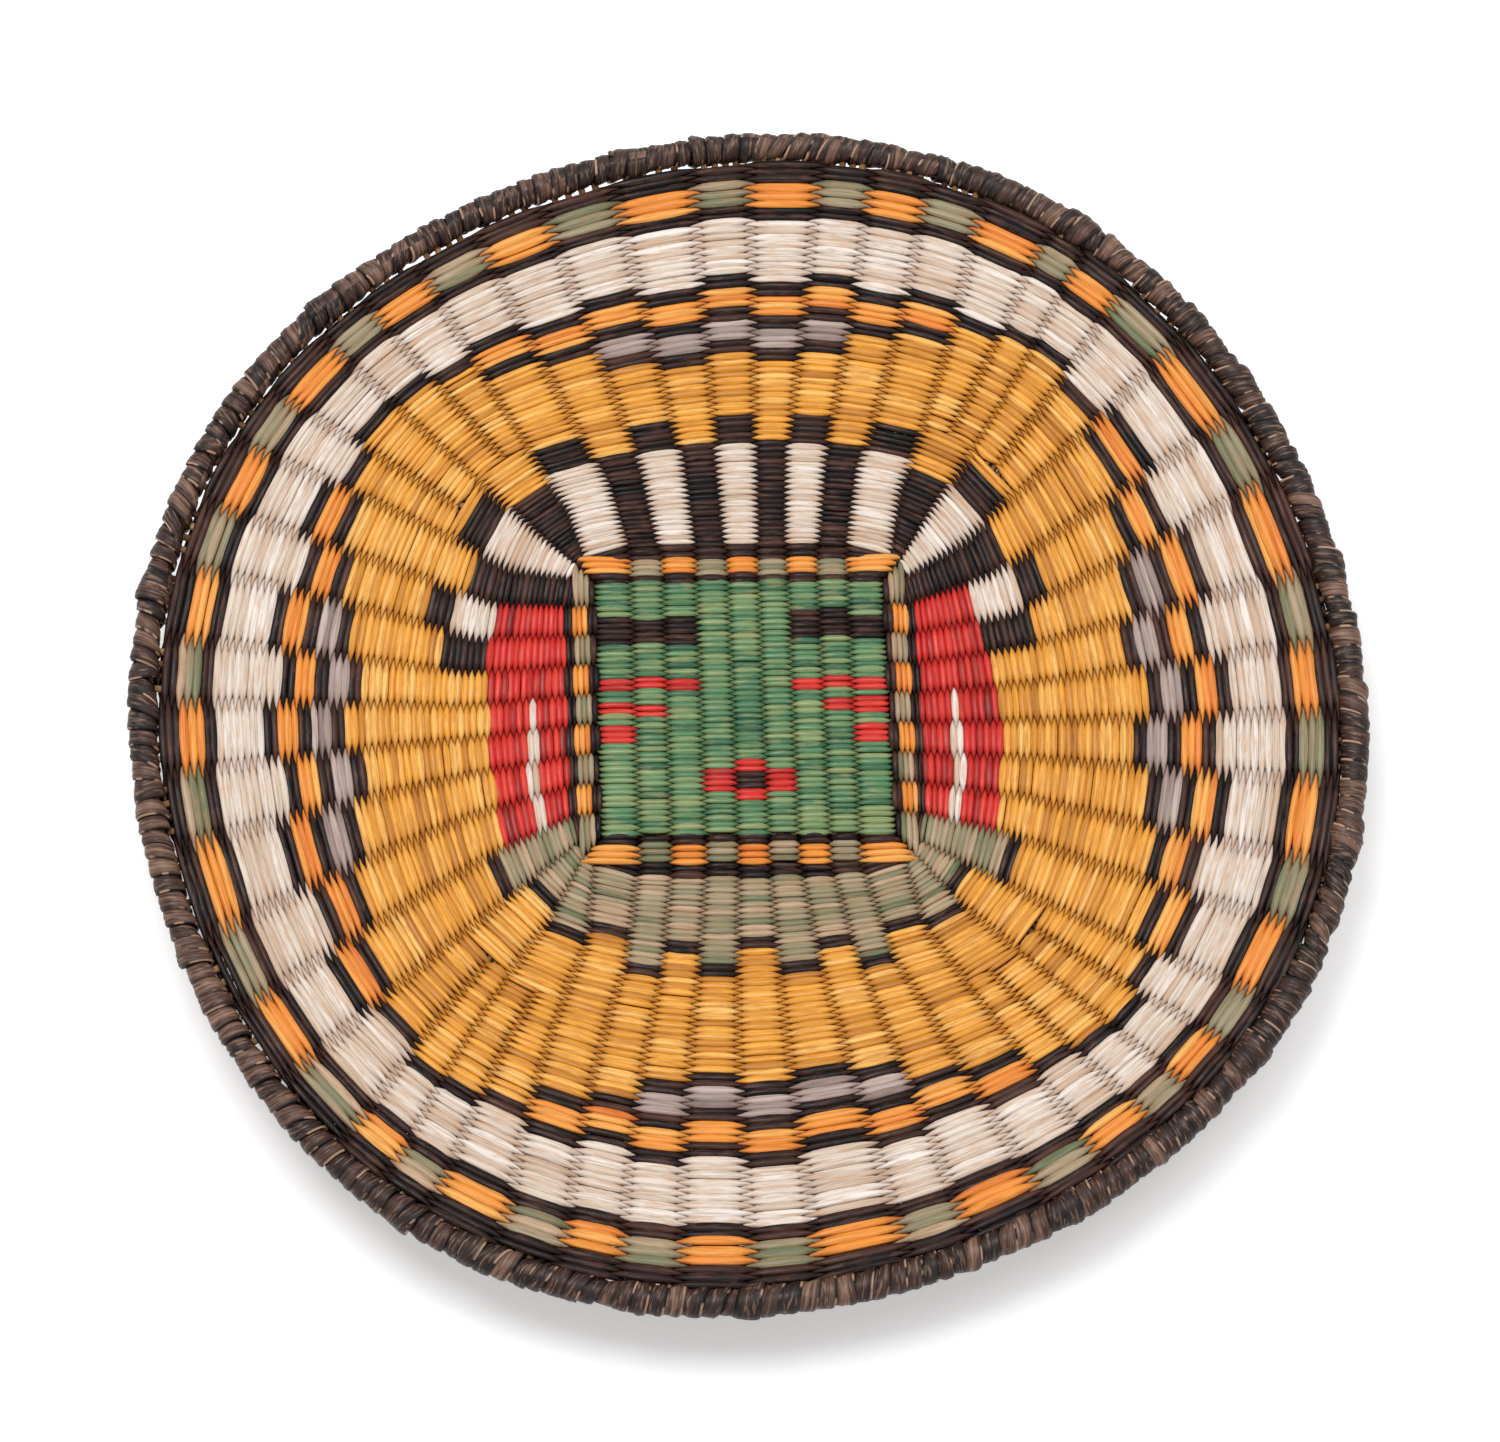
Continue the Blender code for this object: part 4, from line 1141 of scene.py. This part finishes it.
def rod_mesh(name, paths, radius, steps, seed):
    """Round rods along paths, with closed ends, each rod's map and its place along and round."""
    shape = bmesh.new()
    twig = shape.loops.layers.float_vector.new("twig")
    shade = shape.faces.layers.float.new("shade")
    chart = shape.loops.layers.uv.new("OFBake")
    random = np.random.default_rng(seed)
    for number, path in enumerate(paths):
        path = smooth_path(path, steps)
        along = unit(np.gradient(path, axis=0))
        across = unit(np.cross(along, (0.0, 0.0, 1.0)))
        up = np.cross(across, along)
        tone = float(np.clip(ROD_TONE + random.normal(0, ROD_TONE_SPREAD), 0, 1))
        places = add_grid(shape, steps, ROD_SECTIONS)
        for corner, (step, section) in places.items():
            turn = 2 * math.pi * section / ROD_SECTIONS
            swell = radius * (1 + ROD_SWELL * math.sin(0.9 * step + number))
            corner.co = path[step] + (across[step] * math.cos(turn) + up[step] * math.sin(turn)) * swell
        for face in {face for corner in places for face in corner.link_faces}:
            face.smooth = True
            face[shade] = tone
            for loop in face.loops:
                step, section = places[loop.vert]
                loop[twig] = (0.01 * step + 0.7 * number, 0.0011 * section, 0.003 * number)
                loop[chart].uv = ((step + 0.5) / (steps + 1),
                                  (number + 0.05 + 0.9 * section / ROD_SECTIONS) / len(paths))
    bmesh.ops.remove_doubles(shape, verts=shape.verts, dist=MERGE_DISTANCE)
    open_edges = [edge for edge in shape.edges if edge.is_boundary]
    for face in bmesh.ops.holes_fill(shape, edges=open_edges)["faces"]:
        face[shade] = END_TONE
    bmesh.ops.recalc_face_normals(shape, faces=shape.faces)
    return mesh_from(shape, name)


def add_rods(rim, material):
    """Rods of every bundle, from rim to rim or from a corner to the rim."""
    radius = rim.rod_thickness / 2
    for kind, side, level in (("front", 1, FRONT_LEVEL), ("back", 0, BACK_LEVEL)):
        for number in range(STRAIGHT_RIBS):
            start = mat_half(side + 2, STRAIGHT_RIBS - 1 - number, level)
            pairs = [pair[::-1] for pair in reversed(start)] + mat_half(side, number, level)
            name = f"{kind}_rods_{number + 1}"
            paths = bundle_paths(pairs, BUNDLE_RODS)
            mesh = rod_mesh(name, paths, radius, BUNDLE_STEPS, 11 * number + side)
            add_piece(name, mesh, [material], f"{kind}_rib_bundle_{number + 1}")
    for corner in range(SIDES * 2):
        side, pair = divmod(corner, 2)
        rib = side * RIBS_PER_SIDE + STRAIGHT_RIBS + 2 * pair
        trunk = [rib_pair(rib, rib + 2, reach) for reach in TRUNK_RADII]
        paths = []
        for arm in (rib, rib + 1):
            outer = [rib_pair(arm, arm + 1, reach) for reach in (*ARM_RADII, rib_end(arm))]
            # An arm has its own half of the trunk
            halves = [[left + (right - left) * edge / 2 for edge in (arm - rib, arm - rib + 1)]
                      for left, right in trunk]
            paths += bundle_paths(halves + outer, ARM_RODS)
        name = f"corner_rods_{corner + 1}"
        mesh = rod_mesh(name, paths, radius, ARM_STEPS, 71 + corner)
        add_piece(name, mesh, [material], f"corner_rib_bundle_{corner + 1}")


def wrap_mesh(name, index, first, last, turn_angle, rim, random):
    """One leaf strip wound round the rim between two angles, each turn lapped over the next."""
    level = float(dish_level(RIM_RADIUS - RIM_THICKNESS / 2))
    turns = round((last - first) / turn_angle)
    steps = turns * TURN_STEPS
    shape = bmesh.new()
    places = add_grid(shape, steps, LAP_STEPS)
    twig = shape.loops.layers.float_vector.new("twig")
    crease = shape.loops.layers.float.new("crease")
    shade = shape.faces.layers.float.new("shade")
    chart = shape.loops.layers.uv.new("OFBake")
    pitches = 1 + random.uniform(-PITCH_SPREAD, PITCH_SPREAD, turns + 1)
    stations = first + (last - first) * np.concatenate(([0], np.cumsum(pitches))) / pitches[:-1].sum()
    count = np.arange(turns + 2)
    swells = random.normal(0, SWELL_SPREAD, turns + 2)
    leans = random.normal(0, LEAN_SPREAD, turns + 2)
    tones = np.clip(LEAF_TONE + random.normal(0, LEAF_TONE_SPREAD, turns + 2), 0, 1)
    folds = random.normal(0, FOLD_SPREAD, (turns + 2, LAP_STEPS + 1))
    for corner, (step, column) in places.items():
        lap = column / LAP_STEPS
        turn = step / TURN_STEPS
        round_turn = 2 * math.pi * turn + 0.6 * index
        wide = turn_angle * (1 + rim.leaf_overlap) * np.interp(turn, count[:-1], pitches)
        lean = turn_angle * LEAN * np.interp(turn, count, leans) * math.cos(round_turn)
        degrees = np.interp(turn, count, stations) + ((lap - 0.5) * wide + lean)
        # A strip's ends are tucked in under a lump
        end = min(step, steps - step) / TURN_STEPS
        lump = LUMP * max(0.0, 1 - end / LUMP_TURNS) - TUCK * max(0.0, 1 - end / TUCK_TURNS)
        crown = LEAF_BULGE * (4 * lap * (1 - lap)) ** 0.3
        relief = np.interp(turn, count, folds[:, column]) + np.interp(turn, count, swells)
        reach = LEAF_REACH + LEAF_RISE * lap + crown + relief + lump
        across = rim_radius(degrees) - RIM_THICKNESS / 2 + LEAF_OFFSET + reach * math.cos(round_turn)
        corner.co = (*polar(across, degrees), level + reach * math.sin(round_turn))
    for face in shape.faces:
        face.smooth = True
        row = min(places[corner][0] for corner in face.verts) // TURN_STEPS
        face[shade] = float(tones[row])
        for loop in face.loops:
            step, column = places[loop.vert]
            lap = column / LAP_STEPS
            loop[twig] = (0.0017 * step + index, rim.leaf_pitch * 1.2 * lap, 0.001 * row)
            # Painted shade, darker towards both edges of a turn
            loop[crease] = abs(2 * lap - 1) ** 2
            loop[chart].uv = ((step - row * TURN_STEPS + 0.1) / (TURN_STEPS + 0.2),
                              (row + 0.05 + 0.9 * lap) / turns)
    # The faces have to look away from the core
    shape.normal_update()
    sample = shape.faces[:][len(shape.faces) // 2]
    middle = sample.calc_center_median()
    degrees = math.degrees(math.atan2(middle.y, middle.x))
    core = Vector((*polar(rim_radius(degrees) - RIM_THICKNESS / 2, degrees), level))
    if (middle - core).dot(sample.normal) < 0:
        bmesh.ops.reverse_faces(shape, faces=shape.faces)
    return mesh_from(shape, name)


def add_wraps(rim, material):
    """Leaf strips all round the rim, each of which laps half a turn over its neighbours."""
    turn_angle = math.degrees(rim.leaf_pitch / (RIM_RADIUS - RIM_THICKNESS / 2))
    random = np.random.default_rng(23)
    for index, first in enumerate(STRIP_ENDS):
        last = STRIP_ENDS[(index + 1) % len(STRIP_ENDS)]
        last += 360 * (last < first)
        name = f"rim_wrap_{index + 1:02d}"
        ends = first - turn_angle / 2, last + turn_angle / 2
        mesh = wrap_mesh(name, index, *ends, turn_angle, rim, random)
        piece = add_piece(name, mesh, [material], f"rim_wrap_strip_{index + 1:02d}")
        wall = piece.modifiers.new("leaf thickness", "SOLIDIFY")
        wall.thickness = rim.leaf_thickness
        wall.offset = -1


# Stage

FLOOR_RADIUS = 4.0
FLOOR_LEVEL = -0.0002
LAMP_SIZE = 0.7
LAMP_PLACES = {"soft_lamp": (-0.32, 0.36, 1.50), "fill_lamp": (0.42, 0.30, 1.40)}
CAMERA_AIM = (0.0006, -0.0012, 0.00925)
SENSOR_WIDTH = 36.0


def add_floor(stage):
    """A wide round floor just under the plaque."""
    shape = bmesh.new()
    bmesh.ops.create_circle(shape, cap_ends=True, segments=96, radius=FLOOR_RADIUS)
    floor = add_object("floor", mesh_from(shape, "floor"))
    floor.data.materials.append(floor_material(stage.floor))
    floor.location.z = FLOOR_LEVEL


def add_lamps(stage):
    """Two soft lamps above the plaque's upper edge, left and right, that look at the origin."""
    for (name, place), power in zip(LAMP_PLACES.items(), (stage.lamp_power, stage.fill_power)):
        lamp = bpy.data.lights.new(name, "AREA")
        lamp.shape = "DISK"
        lamp.size = LAMP_SIZE
        lamp.energy = power
        holder = add_object(name, lamp)
        holder.location = place
        holder.rotation_euler = (-holder.location).to_track_quat("-Z", "Y").to_euler()


def light_world(stage):
    """Even light from all round, which is plain white where it is seen."""
    world = bpy.data.worlds.new("even_light")
    world.use_nodes = True
    sky = world.node_tree.nodes["Background"]
    sky.inputs["Color"].default_value = (1, 1, 1, 1)
    sky.inputs["Strength"].default_value = stage.sky
    seen = add_node(world, "ShaderNodeBackground", (), {"Color": (1, 1, 1, 1)})
    blend = add_node(world, "ShaderNodeMixShader", (),
                     {0: seen_ray(world), 1: sky.outputs[0], 2: seen.outputs[0]})
    world.node_tree.links.new(blend.outputs[0], world.node_tree.nodes["World Output"].inputs["Surface"])
    bpy.context.scene.world = world
    bpy.context.scene.view_settings.view_transform = "Standard"


def add_camera(stage):
    """The photo's view: from the front of the plaque, tilted from straight down."""
    camera = bpy.data.cameras.new("camera")
    camera.lens = stage.lens
    camera.sensor_width = SENSOR_WIDTH
    view = add_object("camera", camera)
    back = Vector((0, -math.sin(stage.tilt), math.cos(stage.tilt)))
    view.location = Vector(CAMERA_AIM) + stage.distance * back
    view.rotation_euler.x = stage.tilt
    bpy.context.scene.camera = view


# Operators


class PLAQUE_OT_rods(bpy.types.Operator):
    """Lay the peeled rods of the mats, the ribs and the forked corners"""

    bl_idname = "plaque.rods"
    bl_label = "Rods"

    def execute(self, context):
        add_rods(context.scene.plaque_rim, rod_material(context.scene.plaque_dyes.rod))
        return {"FINISHED"}


class PLAQUE_OT_mats(bpy.types.Operator):
    """Weave the two crossed mats"""

    bl_idname = "plaque.mats"
    bl_label = "Mats"

    def execute(self, context):
        weave = context.scene.plaque_weave
        materials = weft_materials(context.scene.plaque_dyes)
        add_mat_weave("front_mat_weave", FACE_LINES, 2 * FACE_HALF_Y, FRONT_LEVEL, False, mat_dye, weave,
                      materials, "front_mat_weft")
        add_mat_weave("back_mat_weave", ROW_LINES, MAT_WIDTH, BACK_LEVEL, True, back_mat_dye, weave,
                      materials, "back_mat_weft")
        return {"FINISHED"}


# Pieces of the round weave: their first strand and the one after their last, in half floats,
# whether they lie outside the forks, and their slot and node
ROUND_PIECES = (
    ("figure_weave_inner", -4, 18, False, "red_weft", "figure_weft_ring"),
    ("figure_weave_outer", 18, 39, False, "sage_weft", "figure_weft_ring"),
    ("field_weave_trunks", 39, FORK_NUMBER, False, "ochre_weft", "field_weft_ring"),
    ("field_weave_inner", FORK_NUMBER, 70, True, "ochre_weft", "field_weft_ring"),
    ("field_weave_outer", 70, 90, True, "ochre_weft", "field_weft_ring"),
    ("pale_weave", 90, 107, True, "cream_weft", "pale_weft_ring"),
    ("edge_weave", 107, 121, True, "dark_weft", "edge_weft_ring"),
)


class PLAQUE_OT_rounds(bpy.types.Operator):
    """Weave the square border and the rounds outside it, out to the edge"""

    bl_idname = "plaque.rounds"
    bl_label = "Rounds"

    def execute(self, context):
        weave = context.scene.plaque_weave
        materials = weft_materials(context.scene.plaque_dyes)
        add_border_weave("border_weave", weave, materials, "border_weft_round")
        for name, first, last, forked, slot, node in ROUND_PIECES:
            add_round_weave(name, range(first, last), forked, weave, materials, node)
        return {"FINISHED"}


class PLAQUE_OT_rim(bpy.types.Operator):
    """Wind the leaf strips round the rim"""

    bl_idname = "plaque.rim"
    bl_label = "Rim"

    def execute(self, context):
        dyes = context.scene.plaque_dyes
        add_wraps(context.scene.plaque_rim, leaf_material(dyes.leaf))
        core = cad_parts["rim_core"]
        core.data.materials.clear()
        core.data.materials.append(core_material(dyes.rod))
        return {"FINISHED"}


class PLAQUE_OT_stage(bpy.types.Operator):
    """Set up the floor, the light and the camera"""

    bl_idname = "plaque.stage"
    bl_label = "Stage"

    def execute(self, context):
        stage = context.scene.plaque_stage
        add_floor(stage)
        add_lamps(stage)
        light_world(stage)
        add_camera(stage)
        return {"FINISHED"}


class PLAQUE_PT_panel(bpy.types.Panel):
    """Settings and steps of the woven plaque"""

    bl_idname = "PLAQUE_PT_panel"
    bl_label = "Woven plaque"
    bl_space_type = "VIEW_3D"
    bl_region_type = "UI"
    bl_category = "Plaque"

    def draw(self, context):
        layout = self.layout
        for group in ("plaque_weave", "plaque_rim", "plaque_dyes", "plaque_stage"):
            settings = getattr(context.scene, group)
            box = layout.box()
            for name in settings.__annotations__:
                box.prop(settings, name)
        for operator in OPERATORS:
            layout.operator(operator.bl_idname)


OPERATORS = (PLAQUE_OT_stage, PLAQUE_OT_rods, PLAQUE_OT_mats, PLAQUE_OT_rounds, PLAQUE_OT_rim)
GROUPS = {"plaque_weave": PlaqueWeave, "plaque_rim": PlaqueRim, "plaque_dyes": PlaqueDyes,
          "plaque_stage": PlaqueStage}


def register():
    """Add the settings, the operators and the panel to Blender."""
    for name, group in GROUPS.items():
        bpy.utils.register_class(group)
        setattr(bpy.types.Scene, name, bpy.props.PointerProperty(type=group))
    for item in (*OPERATORS, PLAQUE_PT_panel):
        bpy.utils.register_class(item)


def unregister():
    """Take them out again."""
    for item in reversed((*OPERATORS, PLAQUE_PT_panel)):
        bpy.utils.unregister_class(item)
    for name, group in GROUPS.items():
        delattr(bpy.types.Scene, name)
        bpy.utils.unregister_class(group)


def main():
    """Build the dressed plaque on its stage."""
    register()
    bpy.ops.plaque.stage()
    bpy.ops.plaque.rods()
    bpy.ops.plaque.mats()
    bpy.ops.plaque.rounds()
    bpy.ops.plaque.rim()


if __name__ == "__main__":
    main()
